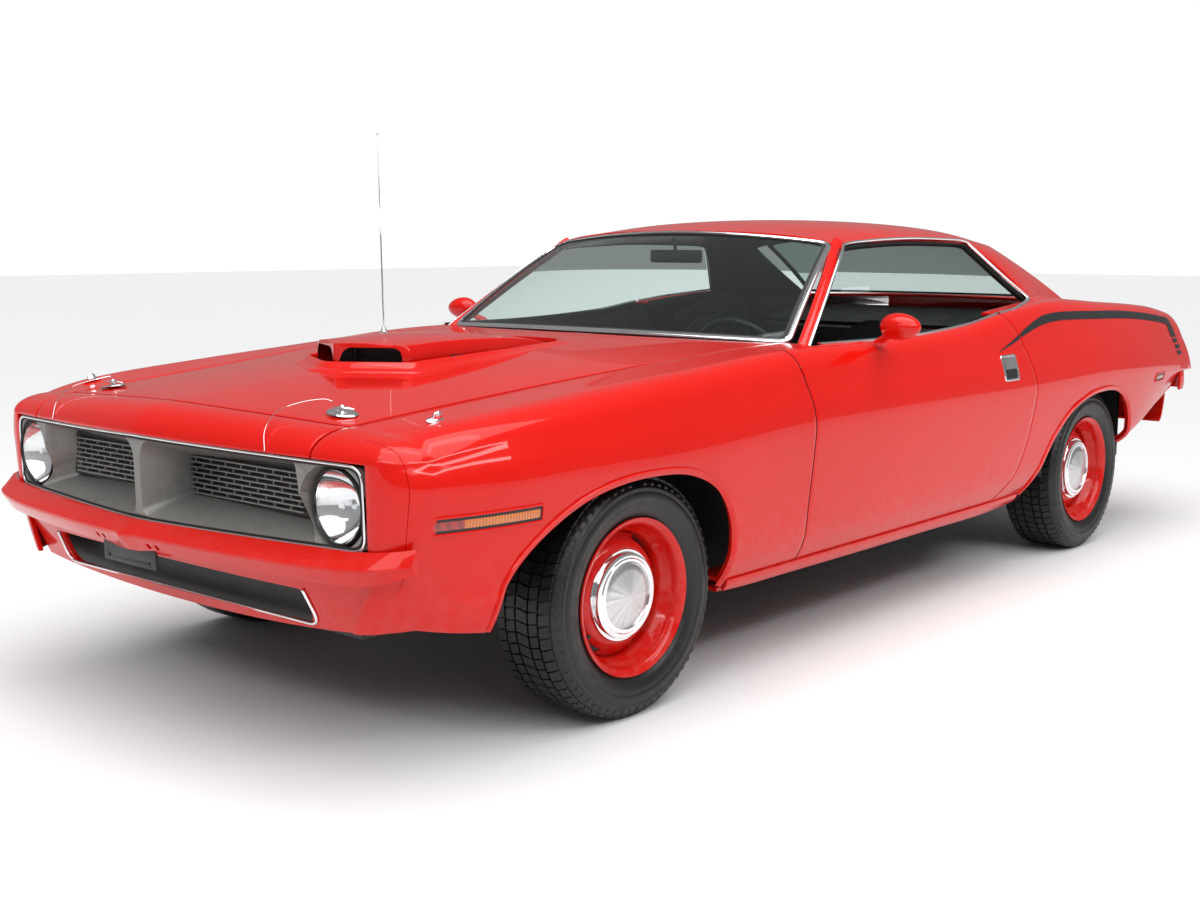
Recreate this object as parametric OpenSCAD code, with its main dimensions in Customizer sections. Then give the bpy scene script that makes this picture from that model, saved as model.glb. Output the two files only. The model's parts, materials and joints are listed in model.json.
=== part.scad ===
// Two-door fastback muscle car of about 1970, with an engine-mounted scoop through its hood.
// Millimetres, +Z up, front towards -Y, left side of the car at +X. The origin is on the ground,
// in the middle of the car's length and width.

/* [Body] */
// Length over the bumpers
body_length = 4742; // [3900:1:5700]
// Width over the rear quarters
body_width = 1902; // [1650:1:2280]
// Height of the roof over the ground
roof_height = 1293; // [1100:1:1550]
// Distance between the axles
wheelbase = 2743; // [2300:1:3290]
// Front bumper to front axle
front_overhang = 929; // [775:1:1115]
// Thickness of a body panel with its inner frame
skin = 14; // [8:1:20]
// Thickness of a door from outer to inner panel
door_depth = 140; // [100:1:150]
// Gap round the doors
door_gap = 9; // [6:1:12]
// Gap round the hood and the decklid
lid_gap = 6; // [5:1:10]

/* [Wheels] */
// Rolling radius of the tyres
tyre_radius = 318; // [280:1:335]
// Section width of the tyres
tyre_width = 226; // [180:1:240]
// Radius of the rim where the tyre seats
rim_radius = 190.5; // [165:0.5:216]
// Width of the rim between its flanges
rim_width = 178; // [140:1:190]
// Distance between the front tyres' middles
front_track = 1516; // [1400:1:1560]
// Distance between the rear tyres' middles
rear_track = 1542; // [1400:1:1580]
// Radius of the hub cap
cap_radius = 122; // [100:1:130]
// Number of wheel studs
stud_count = 5; // [4:1:6]

/* [Scoop and mast] */
// Width of the scoop at its front
scoop_width = 400; // [320:1:460]
// Gap between the scoop and the hood's hole
scoop_gap = 18; // [14:1:26]
// Length of the antenna mast
mast_length = 672; // [500:1:900]

/* [Fastening] */
// Distance between the plate bolts
plate_pitch = 178; // [150:1:210]
// Radius of the plate bolt holes
plate_hole = 3.5; // [2.5:0.5:5]
// Radius of the jacking pads
pad_radius = 35; // [20:1:50]

/* [Hidden] */
SEAT_GAP = 0.3;
$fn = 48;

red = [0.8, 0.05, 0.03];
argent = [0.42, 0.42, 0.4];
chrome = [0.85, 0.86, 0.88];
black = [0.06, 0.06, 0.06];
glass = [0.6, 0.75, 0.72, 0.4];

// The design proportions that the tables below are drawn in, and their stretch to the sizes above.
L0 = 4742;
W0 = 1902;
H0 = 1293;
FRONT0 = -1442;
REAR0 = 1301;
front_axle = -body_length / 2 + front_overhang;
rear_axle_y = front_axle + wheelbase;
function sx(x) = x * body_width / W0;
function sy(y) =
    y < FRONT0 ? front_axle + (y - FRONT0) * front_overhang / (L0 / 2 + FRONT0) :
    y > REAR0 ? rear_axle_y + (y - REAR0) * (body_length / 2 - rear_axle_y) / (L0 / 2 - REAR0) :
    front_axle + (y - FRONT0) * wheelbase / (REAR0 - FRONT0);
function sz(z) = z * roof_height / H0;
function place(p) = [sx(p[0]), sy(p[1]), sz(p[2])];

// A smooth curve through rows of [key, value, ...], at key k, for column c.
function row_at(t, k, i = 0) = (i >= len(t) - 2 || k < t[i + 1][0]) ? i : row_at(t, k, i + 1);
function rise(t, i, c) =
    let (a = max(i - 1, 0), b = min(i + 1, len(t) - 1)) (t[b][c] - t[a][c]) / (t[b][0] - t[a][0]);
function curve(t, k, c = 1) =
    let (i = row_at(t, k), h = t[i + 1][0] - t[i][0], u = min(1, max(0, (k - t[i][0]) / h)))
    (2 * u^3 - 3 * u^2 + 1) * t[i][c] + (u^3 - 2 * u^2 + u) * h * rise(t, i, c)
    + (3 * u^2 - 2 * u^3) * t[i + 1][c] + (u^3 - u^2) * h * rise(t, i + 1, c);
function mix(a, b, t) = a + (b - a) * t;
function steps(a, b, n) = [for (i = [0:n]) a + (b - a) * i / n];

// Lines of the body side: [station y, half width x, height z].
sill_line = [[-2210, 790, 380], [-1990, 846, 338], [-1090, 850, 276], [-700, 850, 270], [0, 852, 268],
             [620, 850, 274], [1640, 858, 392], [2000, 850, 506], [2345, 835, 600]];
turn_line = [[-2210, 800, 480], [-1860, 890, 436], [-1300, 912, 405], [-834, 908, 390], [0, 910, 388],
             [843, 915, 402], [1640, 912, 450], [2000, 890, 545], [2345, 850, 624]];
crease_line = [[-2210, 812, 676], [-2120, 868, 675], [-1940, 912, 673], [-1667, 925, 671],
               [-1311, 932, 667], [-722, 930, 686], [0, 938, 690], [665, 946, 692], [1290, 951, 705],
               [1700, 944, 692], [2138, 918, 664], [2345, 896, 650]];
shoulder_line = [[-2210, 790, 742], [-2120, 838, 786], [-1950, 866, 826], [-1600, 878, 856],
                 [-1178, 880, 880], [-745, 878, 908], [-139, 884, 908], [300, 884, 928],
                 [560, 880, 958], [967, 868, 990], [1550, 856, 970], [2036, 846, 936],
                 [2274, 830, 904], [2345, 822, 884]];
inner_line = [[-2210, 596, 790], [-2130, 598, 806], [-1600, 622, 852], [-1194, 668, 886],
              [-650, 716, 918], [-139, 780, 922], [300, 780, 938], [560, 776, 966], [967, 760, 996],
              [1200, 700, 1000], [1550, 640, 972], [2036, 636, 944], [2274, 632, 914],
              [2345, 630, 896]];
ridge_line = [[-2210, 0, 830], [-1700, 0, 876], [-1200, 0, 908], [-650, 0, 928], [1550, 0, 984],
              [2036, 0, 958], [2274, 0, 926], [2345, 0, 908]];
function line_pt(t, y) = [curve(t, y, 1), y, curve(t, y, 2)];
SHOULDER_OUT = 0.42;
SHOULDER_IN = 0.36;

// Point of the side's section at station y. v runs 0 sill, 1 turn, 2 crease, 3 to 4 shoulder, 5 inner edge.
function side_pt(y, v) =
    let (a = line_pt(sill_line, y), b = line_pt(turn_line, y), c = line_pt(crease_line, y),
         s = line_pt(shoulder_line, y), e = line_pt(inner_line, y),
         s0 = mix(s, c, SHOULDER_OUT), s1 = mix(s, e, SHOULDER_IN))
    v <= 1 ? mix(a, b, v) + [10 * 4 * v * (1 - v), 0, 0] :
    v <= 2 ? mix(b, c, v - 1) :
    v <= 3 ? mix(c, s0, v - 2) + [7 * 4 * (v - 2) * (3 - v), 0, 0] :
    v <= 4 ? let (u = v - 3) (1 - u)^2 * s0 + 2 * u * (1 - u) * s + u^2 * s1 :
    mix(s1, e, v - 4);
side_rows = [0, 0.5, 1, 1.5, 2, 2.5, 3, 3.25, 3.5, 3.75, 4, 4.5, 5];

// Point of the hood or deck surface at station y and half width share u, from -1 to 1.
function top_pt(y, u) =
    let (e = line_pt(inner_line, y), c = curve(ridge_line, y, 2), w = abs(u))
    [u * e[0], y, c - (c - e[2]) * (0.3 * w + 0.7 * w^2)];

// A closed shell between two equal grids of points. Rows across columns point outwards.
function grid_normal(g, i, j) =
    let (n = len(g) - 1, m = len(g[0]) - 1,
         a = g[min(i + 1, n)][j] - g[max(i - 1, 0)][j], b = g[i][min(j + 1, m)] - g[i][max(j - 1, 0)],
         c = cross(a, b)) c / max(norm(c), 0.001);
function moved(g, t) =
    [for (i = [0:len(g) - 1]) [for (j = [0:len(g[0]) - 1]) g[i][j] - t * grid_normal(g, i, j)]];
function quad(a, b, c, d) = [[a, c, b], [a, d, c]];
module shell(outer, inner) {
    n = len(outer);
    m = len(outer[0]);
    o = n * m;
    last = o - m;
    faces = concat(
        [for (i = [0:n - 2], j = [0:m - 2]) let (k = i * m + j) each concat(
            quad(k, k + m, k + m + 1, k + 1), quad(o + k, o + k + 1, o + k + m + 1, o + k + m))],
        [for (i = [0:n - 2]) let (a = i * m, b = a + m - 1) each concat(
            quad(a, o + a, o + a + m, a + m), quad(b, b + m, o + b + m, o + b))],
        [for (j = [0:m - 2]) let (a = j, b = last + j) each concat(
            quad(a, a + 1, o + a + 1, o + a), quad(b, o + b, o + b + 1, b + 1))]);
    polyhedron(concat([for (r = outer) each r], [for (r = inner) each r]), faces);
}
// A panel that follows a grid of design points, with its inner face t further in.
module panel(g, t) {
    p = [for (r = g) [for (q = r) place(q)]];
    shell(p, moved(p, t));
}
// A solid through a row of closed rings of design points, whichever way round they are listed.
function sum(v) = [for (q = v) 1] * v;
function facing(rings) =
    let (r = rings[0], far = rings[len(rings) - 1])
    sum([for (j = [1:len(r) - 2]) cross(r[j] - r[0], r[j + 1] - r[0])]) * (sum(far) - sum(r));
function reversed(v) = [for (i = [len(v) - 1:-1:0]) v[i]];
module loft(rings) {
    n = len(rings);
    m = len(rings[0]);
    turned = facing(rings) < 0 ? [for (r = rings) reversed(r)] : rings;
    sides = [for (i = [0:n - 2], j = [0:m - 1]) let (k = (j + 1) % m)
        each quad(i * m + j, i * m + k, (i + 1) * m + k, (i + 1) * m + j)];
    polyhedron([for (r = turned) for (q = r) place(q)],
               concat(sides, [[for (j = [0:m - 1]) j]], [[for (j = [m - 1:-1:0]) (n - 1) * m + j]]));
}
// One mesh of what it holds.
module as_mesh() { resize([0, 0, 0]) children(); }
module both_sides() {
    children();
    mirror([1, 0, 0]) children();
}
// A six-sided solid from its bottom and top corners, each four points in turn.
module block(bottom, top) {
    polyhedron([for (p = concat(bottom, top)) place(p)],
               [[0, 1, 2, 3], [7, 6, 5, 4], [0, 4, 5, 1], [1, 5, 6, 2], [2, 6, 7, 3], [3, 7, 4, 0]]);
}
module box(lo, hi) {
    a = place(lo);
    b = place(hi);
    translate(a) cube(b - a);
}

FACE_X = 752;
FACE_TOP = 744;
NOSE_Y = -2312;
// Front of the car: the plan of the face that holds the grille.
function face_y(x) = NOSE_Y + 95 * pow(min(1, abs(x) / FACE_X), 1.35);
function hood_front(x) = -2200 + 66 * pow(min(1, abs(x) / 598), 1.6);
NOSE_START = -2110;
// A point p of the side or top, carried forward and down on to the edge of the face: a from 0 to 90.
function nose_pt(p, a) =
    let (x1 = min(p[0], FACE_X), z1 = min(p[2], FACE_TOP + 14 * (1 - x1 / FACE_X)))
    [mix(p[0], x1, 1 - cos(a)), mix(p[1], face_y(x1), sin(a)), mix(p[2], z1, 1 - cos(a))];

// Wheel openings: outlines of [y, z], from front to rear, in the side view.
front_arch = [[-1962, 200], [-1958, 350], [-1925, 462], [-1850, 545], [-1730, 612], [-1590, 648],
              [-1440, 656], [-1300, 640], [-1180, 585], [-1108, 490], [-1092, 380], [-1100, 200]];
rear_arch = [[690, 200], [725, 290], [790, 390], [880, 500], [1000, 588], [1150, 638], [1310, 652],
             [1440, 636], [1550, 580], [1618, 490], [1634, 390], [1630, 200]];
function round_outline(t, n) =
    let (k = [for (i = [0:len(t) - 1]) [i, t[i][0], t[i][1]]])
    [for (s = steps(0, len(t) - 1, n)) [curve(k, s, 1), curve(k, s, 2)]];
module arch_cut(t) {
    pts = [for (p = round_outline(t, 36)) [sy(p[0]), sz(p[1])]];
    translate([sx(700), 0, 0]) rotate([90, 0, 90]) linear_extrude(sx(400)) polygon(pts);
}

// Gap lines of the door in the side view: [height z, station y].
door_front = [[250, -746], [397, -742], [727, -727], [900, -752], [1000, -760]];
door_rear = [[250, 430], [300, 478], [404, 598], [531, 655], [689, 675], [869, 618], [960, 552], [1010, 520]];
SILL_TOP = 300;
DOOR_TOP_IN = 830;
module door_region(grow) {
    low = sz(SILL_TOP) - grow;
    front = [for (z = steps(low, sz(1010), 14)) [sy(curve(door_front, z * H0 / roof_height)) - grow, z]];
    rear = [for (z = steps(sz(1010), low, 18)) [sy(curve(door_rear, z * H0 / roof_height)) + grow, z]];
    from = grow > 0 ? DOOR_TOP_IN - grow : 600;
    translate([sx(from), 0, 0]) rotate([90, 0, 90]) linear_extrude(sx(400)) polygon(concat(front, rear));
}

module front_fender() {
    stations = concat(steps(NOSE_START, -1960, 4), steps(-1900, -1000, 12), steps(-930, -601, 5));
    wrap = [for (a = [90, 70, 50, 32, 15]) [for (v = side_rows) nose_pt(side_pt(NOSE_START, v), a)]];
    as_mesh() difference() {
        panel(concat(wrap, [for (y = stations) [for (v = side_rows) side_pt(y, v)]]), skin);
        arch_cut(front_arch);
        door_region(door_gap);
        // Clear of the sill behind the wheel.
        box([600, -1100, 0], [1000, -500, SILL_TOP - 6]);
    }
}
module front_fenders() { color(red) both_sides() front_fender(); }

// Strip across the nose between the hood and the grille.
module header_panel() {
    function header_pt(u, a) =
        let (p = top_pt(hood_front(u * 598), u), q = nose_pt([abs(p[0]), p[1], p[2]], a))
        [sign(u) * q[0], q[1], q[2]];
    color(red) panel([for (a = steps(90, 0, 6)) [for (u = steps(0.985, -0.985, 12)) header_pt(u, a)]], skin);
}

// Hood: behind the header panel, with a hole round the scoop.
// Its rear edge follows the windshield; a lug at each rear corner turns on the cowl's pins.
function hood_rear(x) = -735 + 95 * pow(abs(x) / 700, 2);
HINGE_PIN = 5;
HINGE_FIT = 0.05;
hood_pivot = place([650, -634, 896]);
scoop_plan = [[-1700, 0.02], [-1612, 1], [-1300, 0.97], [-1000, 0.72], [-930, 0.4]];
module scoop_outline(grow) {
    half = scoop_width / 2;
    left = [for (p = scoop_plan) [p[1] * half, sy(p[0])]];
    right = [for (i = [len(left) - 1:-1:0]) [-left[i][0], left[i][1]]];
    offset(r = grow) polygon(concat(left, right));
}
module hood() {
    us = steps(1, -1, 16);
    share = 1 - lid_gap / 600;
    front = [for (u = us) top_pt(hood_front(u * 598) + lid_gap, u * share)];
    rest = [for (t = steps(0, 1, 11)) [for (u = us) top_pt(mix(-2060, hood_rear(u * 700), t), u * share)]];
    color(red) as_mesh() difference() {
        panel(concat([front], rest), skin);
        translate([0, 0, sz(700)]) linear_extrude(400) scoop_outline(scoop_gap);
    }
    color(red) both_sides() difference() {
        translate(hood_pivot - [8, 30, 9]) cube([16, 39, 17]);
        translate(hood_pivot - [9, 0, 0]) rotate([0, 90, 0]) cylinder(r = HINGE_PIN + HINGE_FIT, h = 18);
    }
}

module shaker_scoop() {
    half = scoop_width / 2;
    color(red) as_mesh() difference() {
        hull() {
            translate([0, 0, sz(820)]) linear_extrude(1) scoop_outline(-1);
            translate([0, 0, sz(890)]) linear_extrude(1) scoop_outline(-1);
            translate([0, 0, sz(947)]) linear_extrude(1) polygon([[0, sy(-1670)], [half * 0.78, sy(-1590)],
                [half * 0.7, sy(-1250)], [0, sy(-1200)], [-half * 0.7, sy(-1250)], [-half * 0.78, sy(-1590)]]);
        }
        // The two nostrils, one each side of the middle.
        both_sides() hull() for (z = [sz(893), sz(925)]) translate([0, 0, z])
            linear_extrude(4) polygon([[14, sy(-1730)], [half * 0.86, sy(-1650)],
                                       [half * 0.7, sy(-1500)], [14, sy(-1540)]]);
    }
}

// Decklid: turned on two pins at its front edge, its rear edge folded down to the tail.
DECK_FRONT = 1570;
deck_pivot = place([120, 1568, 978]);
LUG = 20;
module decklid() {
    us = steps(1, -1, 12);
    share = 1 - lid_gap / 630;
    rows = concat([DECK_FRONT + 8], steps(1640, 2200, 6), [2262, 2276]);
    lip = [for (u = us) top_pt(2276, u * share) + [0, 12, -34]];
    color(red) as_mesh() difference() {
        panel(concat([for (y = rows) [for (u = us) top_pt(y, u * share)]], [lip]), skin);
        both_sides() translate(deck_pivot - [LUG + 10, 20, 30]) cube([2 * LUG + 20, 36, 60]);
    }
    color(red) both_sides() difference() {
        translate(deck_pivot - [LUG, HINGE_PIN + 2, HINGE_PIN + 1]) cube([2 * LUG, 22.7, 2 * HINGE_PIN + 1]);
        translate(deck_pivot - [LUG + 1, 0, 0]) rotate([0, 90, 0]) cylinder(r = 4 + HINGE_FIT, h = 2 * LUG + 2);
    }
}
// Fixed strip between the rear window and the decklid, with the lid's pins.
module deck_filler() {
    us = steps(1, -1, 12);
    function base_y(u) = mix(back_base_mid[1], back_base_end[1], pow(abs(u), 2));
    color(red) as_mesh() difference() {
        panel([for (t = steps(0, 1, 3)) [for (u = us)
            top_pt(mix(base_y(u) + 1, DECK_FRONT - 4, t), u * (1 - (t < 1 ? 17.4 : 0.5) / 630)) - [0, 0, 1.5]]], skin);
        both_sides() translate(deck_pivot - [LUG + 4, 9, 30]) cube([2 * LUG + 8, 40, 60]);
    }
    color(red) both_sides() translate(deck_pivot - [LUG + 4.3, 0, 0]) rotate([0, 90, 0])
        cylinder(r = 4, h = 2 * LUG + 8.6);
}

// Rear quarter: door gap to tail, with the wheel opening and the deck's side.
BUMP_TOP = 652;
function tail_y(z) = 2346 - (z - BUMP_TOP) * 0.19;
module quarter_panel() {
    stations = concat(steps(430, 1000, 9), steps(1060, 2160, 14));
    ends = [for (k = [1:3]) [for (v = side_rows) let (p = side_pt(mix(2160, 2290, k / 3), v))
        [p[0], mix(2160, tail_y(p[2]), k / 3), p[2]]]];
    as_mesh() difference() {
        panel(concat([for (y = stations) [for (v = side_rows) side_pt(y, v)]], ends), skin);
        arch_cut(rear_arch);
        door_region(door_gap);
        box([600, 300, 0], [1000, 702, SILL_TOP - 6]);
        // Room for the rear bumper's end.
        box([600, 2176, 300], [1000, 2500, BUMP_TOP]);
    }
}
module quarter_panels() { color(red) both_sides() quarter_panel(); }

// Sills under the doors, from wheel opening to wheel opening.
module rocker_panel() {
    as_mesh() difference() {
        stations = steps(-1078, 698, 12);
        outer = [for (y = stations) [for (v = [0, 0.1, 0.19]) let (p = side_pt(y, v)) place([p[0], y, min(p[2], SILL_TOP - 6.5)])]];
        inner = [for (r = outer) [for (p = r) [sx(750), p[1], p[2]]]];
        shell(outer, inner);
        arch_cut(front_arch);
        arch_cut(rear_arch);
    }
}
module rocker_panels() { color(red) both_sides() rocker_panel(); }

// Doors: the side's own surface outside and a flat panel inside. The front face slants back
// inwards, so that it swings clear of the fender's edge.
DOOR_SLANT = 20;
module door_front_cut() {
    y0 = -740;
    edge = concat([[100, 850]], [for (t = [sill_line, turn_line, crease_line]) [curve(t, y0, 2), curve(t, y0, 1)]],
                  [[curve(shoulder_line, y0, 2), curve(shoulder_line, y0, 1)], [1100, 860]]);
    loft([for (z = steps(SILL_TOP - 30, 1000, 14)) let (y = curve(door_front, z), x = curve(edge, z))
        [[1100, y, z], [x, y, z], [x - 46, y + DOOR_SLANT, z], [600, y + DOOR_SLANT, z],
         [600, y - 200, z], [1100, y - 200, z]]]);
}
module door() {
    stations = concat(steps(-775, -700, 2), steps(-600, 400, 9), steps(450, 690, 5));
    rows = [0.12, 0.5, 1, 1.5, 2, 2.5, 3, 3.25, 3.5, 3.75, 4];
    // The top's inner edge drops to a shelf, clear of the cowl's side.
    function shelf(y) = curve(shoulder_line, y, 2) - 44;
    outer = [for (y = stations) concat(
        [for (v = rows) let (p = side_pt(y, v)) place([max(p[0], DOOR_TOP_IN), y, p[2]])],
        [place([DOOR_TOP_IN, y, shelf(y)])])];
    inner = [for (i = [0:len(outer) - 1]) let (y = stations[i])
        [for (j = [0:len(outer[i]) - 1]) let (p = outer[i][j], down = 4 + 3 * (len(rows) - j))
            [sx(curve(crease_line, y)) - door_depth, p[1], min(p[2], sz(shelf(y) - down))]]];
    as_mesh() difference() {
        intersection() {
            shell(outer, inner);
            door_region(0);
        }
        door_front_cut();
    }
}
// Each door turns on two upright pins ahead of its front edge, by bent straps.
door_pivot = place([884, -790, 0]);
strap_heights = [sz(505), sz(640)];
module strap(z) {
    reach = sy(curve(door_front, (z + 12) * H0 / roof_height) + DOOR_SLANT) - door_pivot[1] - 1;
    difference() {
        union() {
            cylinder(r = 10, h = 24);
            linear_extrude(24) polygon([[-3, -8], [-48, 18], [-62, reach], [-46, reach],
                                        [-40, 30], [0, 9]]);
        }
        translate([0, 0, -1]) cylinder(r = HINGE_PIN + HINGE_FIT, h = 26);
    }
}
module door_with_straps() {
    color(red) door();
    color(red) for (z = strap_heights) translate([door_pivot[0], door_pivot[1], z]) strap(z);
}
module left_door() { door_with_straps(); }
module right_door() { mirror([1, 0, 0]) door_with_straps(); }
// Posts at the cowl's sides that carry the doors' pins.
module hinge_pillars() {
    x0 = FLOOR_HALF + 0.2;
    color(red) both_sides() {
        translate([sx(x0), sy(-786), sz(300)]) cube([sx(790 - x0), sy(-762) - sy(-786), sz(560)]);
        for (z = strap_heights) {
            for (dz = [-12.5, 24.5]) translate([sx(770), door_pivot[1] - 10, z + dz]) cube([door_pivot[0] - sx(770) + 10, 20, 12]);
            translate([door_pivot[0], door_pivot[1], z - 10]) cylinder(r = HINGE_PIN, h = 44);
        }
    }
}

// Mirrors: an oval head on a short foot on the door's shoulder.
MIRROR_AT = [962, -330, 962];
module door_mirror() {
    m = place(MIRROR_AT);
    foot = place([874, -300, 913]);
    as_mesh() union() {
        translate(m) scale([1, 0.72, 0.58]) sphere(68, $fn = 32);
        difference() {
            hull() {
                translate(m + [-16, 8, -24]) sphere(15, $fn = 16);
                translate(foot - [0, 0, 30]) linear_extrude(30) circle(22, $fn = 24);
            }
            translate([0, 0, SEAT_GAP]) door();
        }
    }
}
module left_mirror() { color(red) door_mirror(); }
module right_mirror() { color(red) mirror([1, 0, 0]) door_mirror(); }

// Greenhouse: the glass planes run between a top and a base line, each from the middle to its end.
header_mid = [0, -228, 1246];
header_end = [604, -158, 1208];
base_mid = [0, -690, 926];
base_end = [738, -586, 914];
back_top_mid = [0, 1000, 1240];
back_top_end = [500, 1020, 1200];
back_base_mid = [0, 1546, 984];
back_base_end = [600, 1500, 984];
function across(mid, end, u) =
    [u * end[0], mix(mid[1], end[1], pow(abs(u), 2)), mix(mid[2], end[2], pow(abs(u), 2))];
module pane(top_mid, top_end, low_mid, low_end, bow, v0, us) {
    panel([for (v = steps(v0, 0.985, 6)) [for (u = us)
        mix(across(top_mid, top_end, u), across(low_mid, low_end, u), v) + [0, 0, bow * 4 * v * (1 - v)]]], 6);
}
module windshield() { color(glass) pane(header_mid, header_end, base_mid, base_end, 14, 0.0088, steps(-0.98, 0.98, 12)); }
module rear_window() {
    color(glass) pane(back_top_mid, back_top_end, back_base_mid, back_base_end, 10, 0.0012, steps(0.97, -0.97, 12));
}

// Roof: rails along its sides, from the header to the top of the rear window.
rail_line = [[-158, 612, 1206], [271, 626, 1226], [721, 612, 1216], [1020, 560, 1196]];
crown_line = [[-228, 0, 1252], [60, 0, 1284], [400, 0, 1293], [760, 0, 1280], [1000, 0, 1248]];
function roof_pt(s, u) =
    let (y_mid = mix(header_mid[1], back_top_mid[1], s), y_end = mix(header_end[1], back_top_end[1], s),
         r = [curve(rail_line, y_end, 1), y_end, curve(rail_line, y_end, 2)],
         c = curve(crown_line, y_mid, 2), w = abs(u))
    [u * r[0], mix(y_mid, y_end, w^2), c - (c - r[2]) * (0.55 * w^2 + 0.45 * w^6)];
// Sail panel: from the rail's rear end and the rear window's edge down to the quarter's inner edge.
SAIL_FRONT = 985;
SAIL_REAR = 1550;
function sail_pt(u, v) =
    let (low = line_pt(inner_line, mix(SAIL_FRONT, SAIL_REAR, u)) + [-3, 0, 2],
         high = mix([600, 735, 1212], [552, 1020, 1196], u))
    mix(high, low, v) + 4 * v * (1 - v) * [13, -14 * u, 8 * u] + 4 * u * (1 - u) * (1 - v) * [18, 0, 26];
// Windshield pillar, from the cowl to the roof's front corner.
pillar_foot = [[742, -596, 900], [782, -580, 896], [776, -540, 896], [736, -556, 900]];
pillar_head = [[596, -168, 1204], [620, -150, 1198], [612, -110, 1200], [588, -128, 1206]];
module roof_panel() {
    color(red) as_mesh() union() {
        panel([for (s = steps(0, 1, 12)) [for (u = steps(1, -1, 14)) roof_pt(s, u)]], skin * 1.5);
        both_sides() panel([for (v = steps(0, 1, 8)) [for (u = steps(0, 1, 7)) sail_pt(u, v)]], skin);
        both_sides() loft([pillar_foot, pillar_head]);
    }
}

// Floor with its tunnel, firewall, rails and the trunk's floor.
FLOOR_HALF = 750;
FIREWALL = -760;
module tunnel(y0, y1, foot, head, low, high0, high1) {
    loft([[[-foot, y0, low], [foot, y0, low], [head, y0, high0], [-head, y0, high0]],
          [[-foot + 36, y1, low], [foot - 36, y1, low], [head - 36, y1, high1], [36 - head, y1, high1]]]);
}
module floor_pan() {
    h = FLOOR_HALF;
    color(black) as_mesh() union() {
        difference() {
            union() {
                box([-h, FIREWALL - 6, 250], [h, 930, 262]);
                box([-600, 900, 250], [600, 1054, 262]);
                tunnel(FIREWALL - 5, 1005, 150, 112, 255, 400, 374);
            }
            tunnel(FIREWALL - 30, 1012, 138, 100, 200, 388, 362);
        }
        difference() {
            box([-h, FIREWALL - 14, 240], [h, FIREWALL, 870]);
            box([-141, FIREWALL - 20, 200], [141, FIREWALL + 10, 441]);
        }
        box([-h, FIREWALL - 10, 860], [h, -665, 872]);
        difference() {
            box([-600, 1046, 245], [600, 1060, 520]);
            box([-62, 1040, 200], [62, 1070, 364]);
        }
        box([-600, 1048, 508], [600, 2237, 519]);
        both_sides() box([400, FIREWALL - 12, 190], [480, 1000, 256]);
    }
    // Pads under the rails for a jack.
    color(black) both_sides() for (y = [-600, 900])
        translate([sx(440), sy(y), sz(190) - 6.3]) cylinder(r = pad_radius, h = 6);
}

// Cowl: the strip between the hood and the windshield, with the hood's pins.
module cowl_panel() {
    us = steps(1, -1, 14);
    function base_y(u) = mix(base_mid[1], base_end[1], pow(abs(u), 2));
    color(black) as_mesh() difference() {
        union() {
            panel([for (t = steps(0, 1, 3)) [for (u = us)
                top_pt(mix(hood_rear(u * 700) - 14, base_y(u) + 12, t), u * 0.985) - [0, 0, 26 - 6 * t]]], 8);
            // Stem down to the firewall.
            box([-700, -768, 872.2], [700, -744, 880]);
            box([-640, -752, 872.2], [640, -744, 890]);
        }
        both_sides() translate(hood_pivot - [13, 45, 30]) cube([26, 70, 60]);
    }
    color(black) both_sides() translate(hood_pivot - [13.3, 0, 0]) rotate([0, 90, 0]) cylinder(r = HINGE_PIN, h = 26.6);
}

// Soft front valance under the bumper, with its long opening.
module front_valance() {
    function valance_pt(u, t) =
        let (x = u * 748.9, top = -2260 + 44 * pow(abs(u), 4))
        [x, mix(top, -2196 + 10 * u * u, t), mix(462, 322 + 30 * u * u, t)];
    color(red) as_mesh() difference() {
        panel([for (u = steps(-1, 1, 16)) [for (t = steps(1, 0, 5)) valance_pt(u, t)]], skin);
        box([-548, -2400, 350], [548, -2100, 432]);
    }
}

// Bumpers: a wedge in section between a face and a back line, each [half width x, station y].
front_face = [[0, -2371], [45, -2362], [300, -2346], [600, -2312], [800, -2262], [866, -2234], [890, -2206]];
front_back = [[0, -2314.3], [45, -2314.3], [300, -2286.3], [600, -2243.3], [752, -2221.3], [866, -2200], [890, -2190]];
rear_face = [[0, 2371], [300, 2370], [600, 2360], [800, 2332], [880, 2300], [908, 2250], [912, 2196]];
rear_back = [[0, 2349], [300, 2349], [600, 2343], [800, 2318], [872, 2286], [896, 2240], [898, 2196]];
bumper_stops = [0, 20, 45, 150, 300, 450, 600, 700, 752, 800, 840, 866, 880, 890];
module front_bumper() {
    function ring(x) =
        let (f = curve(front_face, abs(x)),
             b = min(curve(front_back, abs(x)), face_y(x) - 2.3 + max(0, abs(x) - 752)))
        [[x, mix(f, b, 0.4), 478], [x, f, 524], [x, mix(f, b, 0.8), 554], [x, b, 551.7], [x, b, 486]];
    stops = concat(-reversed(bumper_stops), [for (i = [1:len(bumper_stops) - 1]) bumper_stops[i]]);
    color(red) loft([for (x = stops) ring(x)]);
    // Bracket below the bumper, with two holes for the plate's bolts.
    color(black) difference() {
        box([-115, -2342, 440], [115, -2336, 477.7]);
        for (x = [-0.5, 0.5]) translate([x * plate_pitch, sy(-2339), sz(455)])
            rotate([90, 0, 0]) cylinder(r = plate_hole, h = 20, center = true);
    }
}
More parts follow.
